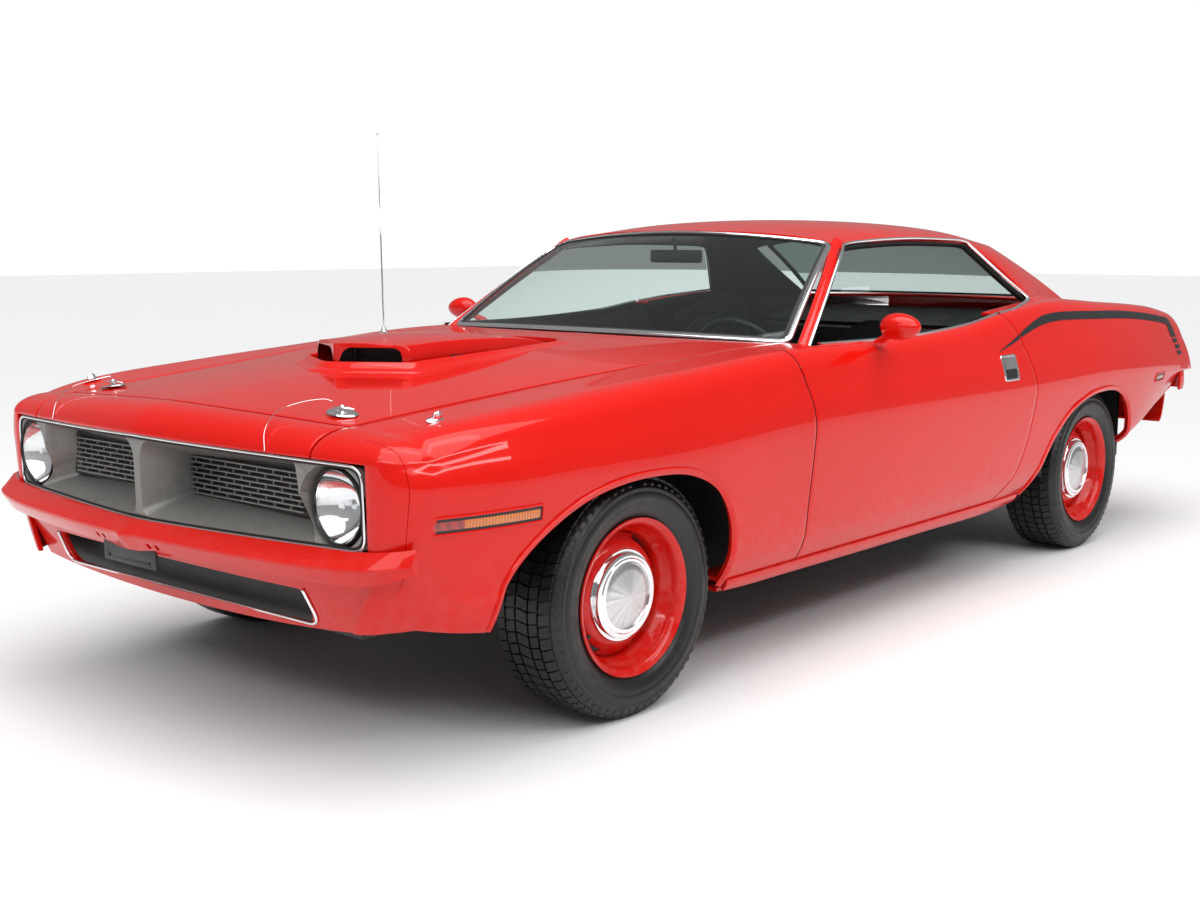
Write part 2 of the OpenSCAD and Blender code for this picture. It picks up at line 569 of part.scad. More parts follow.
module rear_bumper() {
    us = steps(-1, 1, 36);
    function at(t, u) = let (n = len(t) - 1, k = [for (i = [0:n]) [i, t[i][0], t[i][1]]])
        [sign(u) * curve(k, abs(u) * n, 1), curve(k, abs(u) * n, 2)];
    function ring(u) = let (f = at(rear_face, u), b = at(rear_back, u), m = mix(f, b, 0.35))
        [[m[0], m[1], 566], [f[0], f[1], 604], [m[0], m[1], 651.7], [b[0], b[1], 651.7], [b[0], b[1], 570]];
    color(red) loft([for (u = us) ring(u)]);
}
// Panel that tucks under the rear bumper.
module rear_valance() {
    color(red) as_mesh() {
        panel([for (z = steps(420, 640, 5)) [for (u = steps(-1, 1, 12))
            [u * 830, 2190 + 120 * pow((z - 420) / 220, 0.6) - 60 * pow(abs(u), 4) * (z - 420) / 220, z]]], skin);
    }
}

// Grille: a ring round the face, set-back mesh and a headlamp at each side.
module grille_surround() {
    function face_ring(x, low, high) =
        [[x, face_y(x) - 2, high], [x, face_y(x) + 130, high - 2], [x, face_y(x) + 130, low], [x, face_y(x) - 2, low]];
    color(argent) as_mesh() difference() {
        loft([for (x = steps(740, -740, 16)) face_ring(x, 552, 754.8 - 15.5 * abs(x) / 740)]);
        both_sides() box([36, -2420, 592], [540, -2000, 712]);
        both_sides() translate(place([655, -2400, 642])) rotate([-90, 0, 0]) cylinder(r = 90, h = 400);
    }
}
module grille_mesh() {
    color(black) both_sides() box([36.3, -2180, 592.3], [539.7, -2170, 711.7]);
}
module headlamps() {
    color(chrome) both_sides() translate(place([655, -2196, 642])) rotate([-90, 0, 0]) {
        cylinder(r = 90 - SEAT_GAP, h = 60);
        scale([1, 1, 0.2]) sphere(80);
    }
}

TAIL_HALF = 810.4;
function tail_pt(u, z, out = 0) = [u * TAIL_HALF, tail_y(z) - 6 - 22 * u * u + out, z];
module tail_panel() {
    color(red) panel([for (z = steps(656, 868, 4)) [for (u = steps(-1, 1, 12)) tail_pt(u, z)]], skin);
}
LENS = 12;
module tail_lamps() {
    color([0.6, 0, 0]) for (side = [-1, 1], z0 = [700, 756])
        panel([for (z = [z0, z0 + 48]) [for (u = steps(side * 0.72 - 0.22, side * 0.72 + 0.22, 4))
            tail_pt(u, z, LENS + SEAT_GAP)]], LENS);
}

// Cabin fittings, all simple closed forms.
module seat(x) {
    box([x - 222, -120, 262.3], [x + 222, 420, 440]);
    loft([[[x - 222, 310, 440.3], [x + 222, 310, 440.3], [x + 222, 430, 440.3], [x - 222, 430, 440.3]],
          [[x - 200, 500, 930], [x + 200, 500, 930], [x + 200, 570, 930], [x - 200, 570, 930]]]);
}
module seats() {
    color(black) {
        both_sides() seat(372);
        difference() {
            box([-560, 690, 262.3], [560, 1004, 450]);
            box([-150, 680, 200], [150, 1010, 384]);
        }
        loft([[[-560, 940, 450.3], [560, 940, 450.3], [560, 1005, 450.3], [-560, 1005, 450.3]],
              [[-540, 1090, 860], [540, 1090, 860], [540, 1180, 860], [-540, 1180, 860]]]);
    }
}
module dashboard() {
    color(black) as_mesh() union() {
        loft([[[-742, -664.7, 688], [742, -664.7, 688], [742, -520, 688], [-742, -520, 688]],
              [[-742, -664.7, 872], [742, -664.7, 872], [742, -480, 868], [-742, -480, 868]]]);
        box([-60, -640, 420], [60, -500, 692]);
    }
}
WHEEL_AT = [350, -280, 790];
module steering_wheel() {
    color(black) translate(place(WHEEL_AT)) rotate([-62, 0, 0]) {
        rotate_extrude() translate([190, 0]) circle(11);
        for (a = [0, 180]) rotate([0, 0, a]) translate([20, -12, -6]) cube([165, 24, 8]);
        cylinder(r = 42, h = 16, center = true);
        mirror([0, 0, 1]) cylinder(r = 22, h = 269);
    }
}

// Running gear.
SPINDLE = 16;
FIT = 0.05;
module tyre() {
    w = tyre_width / 2;
    b = rim_width / 2 + 2 - SEAT_GAP;
    r = tyre_radius;
    bead = rim_radius + 4;
    middle = (bead + r) / 2 + 6;
    color(black) rotate([0, 90, 0]) rotate_extrude($fn = 96)
        polygon([[bead, -b], [bead + 14, -b], [bead + 30, -w * 0.95], [middle, -w], [r - 26, -w * 0.93],
                 [r - 6, -w * 0.82], [r, -w * 0.62], [r, w * 0.62], [r - 6, w * 0.82], [r - 26, w * 0.93],
                 [middle, w], [bead + 30, w * 0.95], [bead + 14, b], [bead, b]]);
}
// A steel wheel with a dished centre, its hub bored for the spindle; +X is its outer side.
module wheel() {
    w = rim_width / 2;
    r = rim_radius;
    color(red) rotate([0, 90, 0]) union() {
        rotate_extrude($fn = 96)
            polygon([[r + 4 - SEAT_GAP, -w - 2], [r + 4 - SEAT_GAP, w + 2], [r + 17, w + 2], [r + 17, w + 8],
                     [r + 4, w + 8], [r - 10, w - 4], [r - 16, 44], [r - 20, 24], [152, 20], [136, 34],
                     [118, 44], [60, 40], [40, 46], [SPINDLE + FIT, 46], [SPINDLE + FIT, 6], [40, 6],
                     [60, 30], [118, 30], [150, 8], [r - 20, 6], [r - 14, -w + 10], [r + 2, -w - 8],
                     [r + 17, -w - 8], [r + 17, -w - 2]]);
        for (i = [0:stud_count - 1]) rotate(i * 360 / stud_count) translate([57.15, 0, 34]) cylinder(r = 10, h = 20);
    }
}
module hub_cap() {
    c = cap_radius;
    color(chrome) rotate([0, 90, 0]) rotate_extrude($fn = 96)
        polygon([[0, 60], [0, 84], [c * 0.3, 83], [c * 0.62, 74], [c * 0.88, 66], [c - 2, 58], [c, 50],
                 [c, 46], [c - 6, 44.6], [c - 10, 50], [c * 0.8, 58]]);
}
module at_wheel(x, y) {
    translate([x, y, tyre_radius]) rotate([0, 0, x > 0 ? 0 : 180]) children();
}
fx = front_track / 2;
rx = rear_track / 2;
module front_left_tyre() { at_wheel(fx, front_axle) tyre(); }
module front_right_tyre() { at_wheel(-fx, front_axle) tyre(); }
module rear_left_tyre() { at_wheel(rx, rear_axle_y) tyre(); }
module rear_right_tyre() { at_wheel(-rx, rear_axle_y) tyre(); }
module front_left_wheel() { at_wheel(fx, front_axle) wheel(); }
module front_right_wheel() { at_wheel(-fx, front_axle) wheel(); }
module rear_left_wheel() { at_wheel(rx, rear_axle_y) wheel(); }
module rear_right_wheel() { at_wheel(-rx, rear_axle_y) wheel(); }
module front_left_hub_cap() { at_wheel(fx, front_axle) hub_cap(); }
module front_right_hub_cap() { at_wheel(-fx, front_axle) hub_cap(); }
module rear_left_hub_cap() { at_wheel(rx, rear_axle_y) hub_cap(); }
module rear_right_hub_cap() { at_wheel(-rx, rear_axle_y) hub_cap(); }

// Front knuckles turn about an upright pin in the control arms' yoke.
KINGPIN = 68;
kingpin_x = fx - KINGPIN;
PIN_RADIUS = 11;
module along_x(x0, x1, y, z, r) { translate([x0, y, z]) rotate([0, 90, 0]) cylinder(r = r, h = x1 - x0); }
module knuckle() {
    z = tyre_radius;
    color([0.3, 0.3, 0.3]) difference() {
        union() {
            translate([kingpin_x, front_axle, z - 70]) cylinder(r = 24, h = 140);
            along_x(kingpin_x + 5, kingpin_x + 30, front_axle, z, 30);
            along_x(kingpin_x + 26, fx + 2, front_axle, z, 128);
            along_x(fx, fx + 52, front_axle, z, SPINDLE);
            // Steering arm, behind the axle.
            translate([kingpin_x - 34, front_axle + 10, z - 50]) cube([24, 130, 16]);
            translate([kingpin_x - 34, front_axle - 8, z - 50]) cube([34, 24, 16]);
        }
        translate([kingpin_x, front_axle, z - 71]) cylinder(r = PIN_RADIUS + FIT, h = 142);
    }
}
module left_knuckle() { knuckle(); }
module right_knuckle() { mirror([1, 0, 0]) knuckle(); }
// Cross-member with a pair of arms and a pin at each side.
module front_subframe() {
    z = tyre_radius;
    color([0.2, 0.2, 0.2]) {
        translate([-330, front_axle - 60, z - 110]) cube([660, 120, 60]);
        both_sides() box([345, -2140.9, 330], [402, FIREWALL - 14.3, 420]);
        box([-402, -2140.9, 330], [402, -2100, 420]);
        both_sides() box([345, -2140.9, 330], [402, -2100, 560]);
        both_sides() {
            translate([kingpin_x, front_axle, z - 90]) cylinder(r = PIN_RADIUS, h = 180);
            translate([320, front_axle - 18, z - 92]) cube([kingpin_x - 308, 36, 21]);
            translate([400, front_axle - 18, z + 71]) cube([kingpin_x - 388, 36, 21]);
            translate([400, front_axle - 60, z - 72]) cube([40, 120, 164]);
        }
    }
}
// Live axle with its springs and the shaft to the engine.
module rear_axle() {
    z = tyre_radius;
    color([0.2, 0.2, 0.2]) {
        along_x(-rx + 6, rx - 6, rear_axle_y, z, 38);
        both_sides() along_x(rx - 7, rx + 52, rear_axle_y, z, SPINDLE);
        both_sides() along_x(rx - 60, rx + 2, rear_axle_y, z, 128);
        along_x(-105, 105, rear_axle_y, z, 112);
        translate([0, rear_axle_y, z]) rotate([90, 0, 0]) cylinder(r = 30, h = rear_axle_y - sy(-350));
        both_sides() translate([530, sy(1060.3), z - 56]) cube([60, rear_axle_y + 690 - sy(1060.3), 30]);
    }
}
// Engine and gearbox, a plain block and a case behind it.
module engine_block() {
    color(black) {
        box([-290, -1690, 268.3], [290, -930, 819.7]);
        box([-92, -931, 268.3], [92, -600, 356]);
    }
}
module fuel_tank() { color([0.3, 0.3, 0.3]) box([-380, 1720, 290], [380, 2150, 507.7]); }
module exhaust() {
    color([0.5, 0.5, 0.5]) both_sides() {
        translate([300, sy(-900), 200]) rotate([-90, 0, 0]) cylinder(r = 28, h = sy(480) - sy(-900));
        translate([300, sy(478), 200]) rotate([-90, 0, 0]) cylinder(r = 49.5, h = 420);
    }
}
// Inner wings over the wheels; the front ones leave the tyres their swing.
module wheelhouses() {
    color(black) both_sides() {
        as_mesh() difference() {
            box([440, -1990, 380], [838, -1000, 790]);
            box([460, -1970, 300], [900, -1020, 770]);
            box([400, -1560, 300], [500, -1320, 640]);
        }
        as_mesh() difference() {
            box([600.3, 938, 330], [846, 1680, 760]);
            box([620, 958, 300], [900, 1660, 740]);
            box([600, 1200, 300], [630, 1400, 440]);
        }
    }
}
module antenna() {
    p = side_pt(-919, 4.7);
    base = place([-p[0], p[1], p[2] + 1]);
    color(chrome) {
        translate(base) cylinder(r = 12, h = 22);
        translate(base) cylinder(r = 2.5, h = mast_length);
        translate(base + [0, 0, mast_length]) sphere(4);
    }
}

floor_pan();
hinge_pillars();
cowl_panel();
front_fenders();
header_panel();
front_valance();
front_bumper();
grille_surround();
grille_mesh();
headlamps();
quarter_panels();
rocker_panels();
roof_panel();
windshield();
rear_window();
deck_filler();
tail_panel();
tail_lamps();
rear_bumper();
rear_valance();
shaker_scoop();
engine_block();
seats();
dashboard();
steering_wheel();
front_subframe();
rear_axle();
fuel_tank();
exhaust();
wheelhouses();
antenna();
hood();
decklid();
left_door();
right_door();
left_mirror();
right_mirror();
left_knuckle();
right_knuckle();
front_left_tyre();
front_right_tyre();
rear_left_tyre();
rear_right_tyre();
front_left_wheel();
front_right_wheel();
rear_left_wheel();
rear_right_wheel();
front_left_hub_cap();
front_right_hub_cap();
rear_left_hub_cap();
rear_right_hub_cap();
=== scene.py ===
import json
import math

import bpy
from mathutils import Matrix, Vector

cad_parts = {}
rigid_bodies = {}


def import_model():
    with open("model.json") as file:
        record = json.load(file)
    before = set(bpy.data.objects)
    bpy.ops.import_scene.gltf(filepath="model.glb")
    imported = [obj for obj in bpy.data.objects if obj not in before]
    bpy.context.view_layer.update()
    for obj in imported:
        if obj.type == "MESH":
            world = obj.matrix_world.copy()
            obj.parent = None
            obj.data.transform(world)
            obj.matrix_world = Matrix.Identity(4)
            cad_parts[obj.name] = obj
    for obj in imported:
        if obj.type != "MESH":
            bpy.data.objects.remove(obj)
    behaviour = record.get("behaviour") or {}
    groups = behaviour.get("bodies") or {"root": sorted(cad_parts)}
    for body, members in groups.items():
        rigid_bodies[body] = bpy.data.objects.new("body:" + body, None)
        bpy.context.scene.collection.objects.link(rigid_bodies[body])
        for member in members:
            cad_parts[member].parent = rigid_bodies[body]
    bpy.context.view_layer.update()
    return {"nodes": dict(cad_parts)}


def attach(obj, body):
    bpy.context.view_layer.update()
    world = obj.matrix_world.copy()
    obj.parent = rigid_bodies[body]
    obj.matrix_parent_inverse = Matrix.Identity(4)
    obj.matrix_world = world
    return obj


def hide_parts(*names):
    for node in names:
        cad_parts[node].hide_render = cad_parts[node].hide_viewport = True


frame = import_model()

bl_info = {
    "name": "Muscle Car Builder",
    "version": (1, 0, 0),
    "blender": (4, 5, 0),
    "location": "3D View > Sidebar > Muscle Car",
    "description": "Builds the finished surfaces of a two-door muscle car on its CAD frame",
    "category": "Object",
}

MM = 0.001

# Lines of the body side in millimetres: [station y, half width x, height z].
SILL_LINE = [[-2210, 790, 380], [-1990, 846, 338], [-1090, 850, 276], [-700, 850, 270], [0, 852, 268],
             [620, 850, 274], [1640, 858, 392], [2000, 850, 506], [2345, 835, 600]]
TURN_LINE = [[-2210, 800, 480], [-1860, 890, 436], [-1300, 912, 405], [-834, 908, 390], [0, 910, 388],
             [843, 915, 402], [1640, 912, 450], [2000, 890, 545], [2345, 850, 624]]
CREASE_LINE = [[-2210, 812, 676], [-2120, 868, 675], [-1940, 912, 673], [-1667, 925, 671],
               [-1311, 932, 667], [-722, 930, 686], [0, 938, 690], [665, 946, 692], [1290, 951, 705],
               [1700, 944, 692], [2138, 918, 664], [2345, 896, 650]]
SHOULDER_LINE = [[-2210, 790, 742], [-2120, 838, 786], [-1950, 866, 826], [-1600, 878, 856],
                 [-1178, 880, 880], [-745, 878, 908], [-139, 884, 908], [300, 884, 928],
                 [560, 880, 958], [967, 868, 990], [1550, 856, 970], [2036, 846, 936],
                 [2274, 830, 904], [2345, 822, 884]]
INNER_LINE = [[-2210, 596, 790], [-2130, 598, 806], [-1600, 622, 852], [-1194, 668, 886],
              [-650, 716, 918], [-139, 780, 922], [300, 780, 938], [560, 776, 966], [967, 760, 996],
              [1200, 700, 1000], [1550, 640, 972], [2036, 636, 944], [2274, 632, 914],
              [2345, 630, 896]]
RIDGE_LINE = [[-2210, 0, 830], [-1700, 0, 876], [-1200, 0, 908], [-650, 0, 928], [1550, 0, 984],
              [2036, 0, 958], [2274, 0, 926], [2345, 0, 908]]
RAIL_LINE = [[-158, 612, 1206], [271, 626, 1226], [721, 612, 1216], [1020, 560, 1196]]
CROWN_LINE = [[-228, 0, 1252], [60, 0, 1284], [400, 0, 1293], [760, 0, 1280], [1000, 0, 1248]]
# Wheel openings in the side view, front to rear: [y, z].
FRONT_ARCH = [[-1962, 200], [-1958, 350], [-1925, 462], [-1850, 545], [-1730, 612], [-1590, 648],
              [-1440, 656], [-1300, 640], [-1180, 585], [-1108, 490], [-1092, 380], [-1100, 200]]
REAR_ARCH = [[690, 200], [725, 290], [790, 390], [880, 500], [1000, 588], [1150, 638], [1310, 652],
             [1440, 636], [1550, 580], [1618, 490], [1634, 390], [1630, 200]]
# Door gaps in the side view: [z, y].
DOOR_FRONT = [[250, -746], [397, -742], [727, -727], [900, -752], [1000, -760]]
DOOR_REAR = [[250, 430], [300, 478], [404, 598], [531, 655], [689, 675], [869, 618], [960, 552], [1010, 520]]
SILL_TOP = 300
NOSE_START = -2110
FACE_X = 752
SIDES = (("left", 1), ("right", -1))


# ---- Curves and surfaces of the body, in millimetres ----

def curve(table, key, column=1):
    """A smooth curve through rows of [key, value, ...]."""
    i = 0
    while i < len(table) - 2 and key >= table[i + 1][0]:
        i += 1

    def rise(k):
        a, b = max(k - 1, 0), min(k + 1, len(table) - 1)
        return (table[b][column] - table[a][column]) / (table[b][0] - table[a][0])

    h = table[i + 1][0] - table[i][0]
    u = min(1, max(0, (key - table[i][0]) / h))
    return ((2 * u ** 3 - 3 * u ** 2 + 1) * table[i][column] + (u ** 3 - 2 * u ** 2 + u) * h * rise(i)
            + (3 * u ** 2 - 2 * u ** 3) * table[i + 1][column] + (u ** 3 - u ** 2) * h * rise(i + 1))


def mix(a, b, t):
    return a + (b - a) * t


def on_line(table, y):
    return Vector((curve(table, y, 1), y, curve(table, y, 2)))


def side_point(y, v):
    """Point of the body side: v runs 0 sill, 1 turn, 2 crease, 3 to 4 shoulder, 5 inner edge."""
    a, b, c = on_line(SILL_LINE, y), on_line(TURN_LINE, y), on_line(CREASE_LINE, y)
    s, e = on_line(SHOULDER_LINE, y), on_line(INNER_LINE, y)
    s0, s1 = s.lerp(c, 0.42), s.lerp(e, 0.36)
    if v <= 1:
        return a.lerp(b, v) + Vector((40 * v * (1 - v), 0, 0))
    if v <= 2:
        return b.lerp(c, v - 1)
    if v <= 3:
        return c.lerp(s0, v - 2) + Vector((28 * (v - 2) * (3 - v), 0, 0))
    if v <= 4:
        u = v - 3
        return (1 - u) ** 2 * s0 + 2 * u * (1 - u) * s + u ** 2 * s1
    return s1.lerp(e, v - 4)


def top_point(y, u):
    """Point of the hood or deck at station y and share u of the half width, from -1 to 1."""
    e, c, w = on_line(INNER_LINE, y), curve(RIDGE_LINE, y, 2), abs(u)
    return Vector((u * e.x, y, c - (c - e.z) * (0.3 * w + 0.7 * w * w)))


def face_y(x):
    """Plan of the nose's front face."""
    return -2312 + 95 * min(1, abs(x) / FACE_X) ** 1.35


def hood_front(x):
    return -2200 + 66 * min(1, abs(x) / 598) ** 1.6


def hood_rear(x):
    return -735 + 95 * (abs(x) / 700) ** 2


def nose_point(p, angle):
    """A point of the side or top carried forward on to the edge of the face, 0 to 90 degrees."""
    a = math.radians(angle)
    x1 = min(p.x, FACE_X)
    z1 = min(p.z, 744 + 14 * (1 - x1 / FACE_X))
    return Vector((mix(p.x, x1, 1 - math.cos(a)), mix(p.y, face_y(x1), math.sin(a)),
                   mix(p.z, z1, 1 - math.cos(a))))


def tail_y(z):
    return 2346 - (z - 652) * 0.19


def roof_point(s, u):
    """Roof from the header, s = 0, to the top of the rear window, s = 1."""
    y_end, w = mix(-158, 1020, s), abs(u)
    r, c = on_line(RAIL_LINE, y_end), curve(CROWN_LINE, mix(-228, 1000, s), 2)
    return Vector((u * r.x, mix(mix(-228, 1000, s), y_end, w * w),
                   c - (c - r.z) * (0.55 * w ** 2 + 0.45 * w ** 6)))


def glass_point(top, base, bow, u, v):
    """Windshield or rear window: top and base are each a middle point and an end point."""
    def across(pair):
        return Vector((u * pair[1][0], mix(pair[0][1], pair[1][1], u * u),
                       mix(pair[0][2], pair[1][2], u * u)))
    return across(top).lerp(across(base), v) + Vector((0, 0, bow * 4 * v * (1 - v)))


HEADER = ((0, -228, 1246), (604, -158, 1208))
COWL = ((0, -690, 926), (738, -586, 914))
BACK_TOP = ((0, 1000, 1240), (500, 1020, 1200))
BACK_BASE = ((0, 1546, 984), (600, 1500, 984))


def smooth_outline(points, count):
    """Points evenly spaced by key along a smooth open outline of [a, b] pairs."""
    keyed = [[i, p[0], p[1]] for i, p in enumerate(points)]
    return [(curve(keyed, k * (len(points) - 1) / count, 1), curve(keyed, k * (len(points) - 1) / count, 2))
            for k in range(count + 1)]


# ---- Modelling steps ----

def select_only(*pieces):
    """Object mode, with these pieces selected and nothing else."""
    if bpy.context.object and bpy.context.object.mode != "OBJECT":
        bpy.ops.object.mode_set(mode="OBJECT")
    bpy.ops.object.select_all(action="DESELECT")
    for piece in pieces:
        piece.select_set(True)
    if pieces:
        bpy.context.view_layer.objects.active = pieces[0]


def edit(piece, pick=None):
    """Edit mode on one piece with the chosen faces selected, or all of it."""
    select_only(piece)
    if pick:
        for face in piece.data.polygons:
            face.select = bool(pick(face))
        for edge in piece.data.edges:
            edge.select = False
        for vert in piece.data.vertices:
            vert.select = False
        bpy.ops.object.mode_set(mode="EDIT")
        bpy.ops.mesh.select_mode(type="FACE")
    else:
        bpy.ops.object.mode_set(mode="EDIT")
        bpy.ops.mesh.select_mode(type="VERT")
        bpy.ops.mesh.select_all(action="SELECT")


def done():
    bpy.ops.object.mode_set(mode="OBJECT")


def named(name):
    piece = bpy.context.object
    piece.name = piece.data.name = name
    return piece


def tidy_mesh(piece, close=False, near=0.00002):
    """Merges doubles, closes open ends where asked, and turns the faces outwards."""
    edit(piece)
    bpy.ops.mesh.remove_doubles(threshold=near)
    if close:
        bpy.ops.mesh.fill_holes(sides=0)
    bpy.ops.mesh.normals_make_consistent(inside=False)
    done()
    return piece


def sheet(name, across, along, point):
    """An open sheet of across by along faces; point(u, v) places it, each of u and v from 0 to 1."""
    select_only()
    bpy.ops.mesh.primitive_grid_add(x_subdivisions=across, y_subdivisions=along, size=1)
    piece = named(name)
    for vert in piece.data.vertices:
        vert.co = Vector(point(vert.co.x + 0.5, vert.co.y + 0.5)) * MM
    piece.data.update()
    return piece


def flip(piece):
    edit(piece)
    bpy.ops.mesh.flip_normals()
    done()
    return piece


def modify(piece, kind, **settings):
    """Adds one modifier with its settings and applies it."""
    select_only(piece)
    bpy.ops.object.modifier_add(type=kind)
    modifier = piece.modifiers[-1]
    for key, value in settings.items():
        setattr(modifier, key, value)
    bpy.ops.object.modifier_apply(modifier=modifier.name)
    return piece


def thicken(piece, wall, offset=-1):
    return modify(piece, "SOLIDIFY", thickness=wall * MM, offset=offset, use_even_offset=False)


def cut(piece, *cutters, keep="DIFFERENCE"):
    """Takes the cutters out of the piece, or keeps only what is inside them."""
    for cutter in cutters:
        modify(piece, "BOOLEAN", object=cutter, operation=keep, solver="EXACT")
        bpy.data.objects.remove(cutter)
    return piece


def soften(piece, width, angle=35, segments=2):
    return modify(piece, "BEVEL", width=width * MM, segments=segments, limit_method="ANGLE",
                  angle_limit=math.radians(angle), harden_normals=False)


def mirrored(piece):
    """Adds the other side of the car to the same piece."""
    return modify(piece, "MIRROR", use_mirror_merge=False)


def opposite(piece, name):
    """A copy of the piece for the other side of the car, with its own mesh."""
    select_only(piece)
    bpy.ops.object.duplicate(linked=False)
    copy = named(name)
    copy.data.transform(Matrix.Scale(-1, 4, (1, 0, 0)))
    return flip(copy)


def moved(piece, matrix):
    piece.data.transform(matrix)
    return piece


def joined(name, *pieces):
    select_only(*pieces)
    if len(pieces) > 1:
        bpy.ops.object.join()
    return named(name)


def block(name, low, high, bevel=0):
    """A box between two corners, with rounded edges where asked."""
    select_only()
    bpy.ops.mesh.primitive_cube_add(size=1)
    piece = named(name)
    for vert in piece.data.vertices:
        vert.co = Vector(mix(low[k], high[k], vert.co[k] + 0.5) for k in range(3)) * MM
    return soften(piece, bevel, 30, 3) if bevel else piece


def prism(name, outline, low, high, axis="X"):
    """A closed outline of pairs drawn out between two places along an axis."""
    select_only()
    bpy.ops.mesh.primitive_circle_add(vertices=len(outline), fill_type="NGON")
    piece = named(name)
    order = {"X": lambda a, b: (low, a, b), "Y": lambda a, b: (a, low, b), "Z": lambda a,
             b: (a, b, low)}[axis]
    for vert, pair in zip(piece.data.vertices, outline):
        vert.co = Vector(order(*pair)) * MM
    edit(piece)
    step = {"X": (1, 0, 0), "Y": (0, 1, 0), "Z": (0, 0, 1)}[axis]
    bpy.ops.mesh.extrude_region_move(TRANSFORM_OT_translate={"value": Vector(step) * (high - low) * MM})
    bpy.ops.mesh.select_all(action="SELECT")
    bpy.ops.mesh.normals_make_consistent(inside=False)
    done()
    return piece


def turned(name, outline, centre, steps=96):
    """Spins a closed outline of [x, r] pairs round an X axis through the centre."""
    select_only()
    bpy.ops.mesh.primitive_circle_add(vertices=len(outline), fill_type="NOTHING")
    piece = named(name)
    for vert, (x, r) in zip(piece.data.vertices, outline):
        vert.co = Vector((centre[0] + x, centre[1], centre[2] + r)) * MM
    edit(piece)
    bpy.ops.mesh.spin(steps=steps, angle=2 * math.pi, center=Vector(centre) * MM, axis=(1, 0, 0))
    done()
    return tidy_mesh(piece)


def swept(name, path, profile, out=(0, 0, 1), loop=False, size=None):
    """Draws a profile of [side, out] pairs along a path. out is a direction, or one for each point."""
    path = [Vector(p) for p in path]
    n, m = len(path), len(profile)
    rings = []
    for i, p in enumerate(path):
        ahead = path[(i + 1) % n] if loop or i < n - 1 else p
        behind = path[i - 1] if loop or i > 0 else p
        tangent = (ahead - behind).normalized()
        up = Vector(out[i] if isinstance(out[0], (tuple, list, Vector)) else out)
        side = tangent.cross(up).normalized()
        up = side.cross(tangent)
        k = size(i / (n - 1)) if size else 1
        rings.append([p + side * a * k + up * b * k for a, b in profile])

    def point(u, v):
        return rings[round(u * (n if loop else n - 1)) % n][round(v * m) % m]
    piece = sheet(name, n if loop else n - 1, m, point)
    return tidy_mesh(piece, close=not loop)


def ring_profile(a, b, count=10):
    """An oval profile of half sizes a and b."""
    return [(a * math.cos(2 * math.pi * k / count),
             b * math.sin(2 * math.pi * k / count)) for k in range(count)]


def smooth_path(points, count):
    """A smooth open path through points."""
    keyed = [[i, *p] for i, p in enumerate(points)]
    last = len(points) - 1
    return [Vector((curve(keyed, k * last / count, 1), curve(keyed, k * last / count, 2),
                    curve(keyed, k * last / count, 3))) for k in range(count + 1)]


def rounded(corners, radii, steps=5):
    """A closed outline of pairs with its corners rounded."""
    outline = []
    n = len(corners)
    for i, corner in enumerate(corners):
        p = Vector(corner)
        a, b = Vector(corners[i - 1]) - p, Vector(corners[(i + 1) % n]) - p
        r = radii[i] if isinstance(radii, (list, tuple)) else radii
        a, b = p + a.normalized() * min(r, a.length / 2), p + b.normalized() * min(r, b.length / 2)
        for k in range(steps + 1):
            t = k / steps
            q = (1 - t) ** 2 * a + 2 * t * (1 - t) * p + t * t * b
            outline.append((q.x, q.y))
    return outline


def drape(name, loops):
    """A closed solid through loops that all have the same number of points."""
    n, m = len(loops), len(loops[0])
    piece = sheet(name, n - 1, m, lambda u, v: loops[round(u * (n - 1))][round(v * m) % m])
    return tidy_mesh(piece, close=True)


def finished(piece, body, slot, *nodes, angle=32):
    """Gives a piece its finish, its smooth shading and the body it rides on."""
    select_only(piece)
    bpy.ops.object.shade_smooth_by_angle(angle=math.radians(angle))
    piece.data.materials.clear()
    piece.data.materials.append(FINISHES[slot])
    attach(piece, body)
    if nodes:
        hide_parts(*nodes)
    select_only()
    return piece


# ---- Finishes ----

class Wire:
    """One output of a material's nodes; sums written with it become Math nodes."""

    def __init__(self, finish, socket):
        self.finish, self.socket = finish, socket

    def _sum(self, operation, *values):
        return self.finish.node("ShaderNodeMath", {"operation": operation}, dict(enumerate(values)))

    def __add__(self, other):
        return self._sum("ADD", self, other)

    def __sub__(self, other):
        return self._sum("SUBTRACT", self, other)

    def __mul__(self, other):
        return self._sum("MULTIPLY", self, other)

    def __truediv__(self, other):
        return self._sum("DIVIDE", self, other)

    def __pow__(self, other):
        return self._sum("POWER", self, other)

    def __rsub__(self, other):
        return self._sum("SUBTRACT", other, self)

    def __rtruediv__(self, other):
        return self._sum("DIVIDE", other, self)

    def __abs__(self):
        return self._sum("ABSOLUTE", self)

    def __gt__(self, other):
        return self._sum("GREATER_THAN", self, other)

    def __lt__(self, other):
        return self._sum("LESS_THAN", self, other)

    __radd__ = __add__
    __rmul__ = __mul__

    def held(self, low, high):
        """The value carried from low..high to 0..1 and held there."""
        return self.finish.node("ShaderNodeMapRange", {"clamp": True},
                                {"Value": self, "From Min": low, "From Max": high})


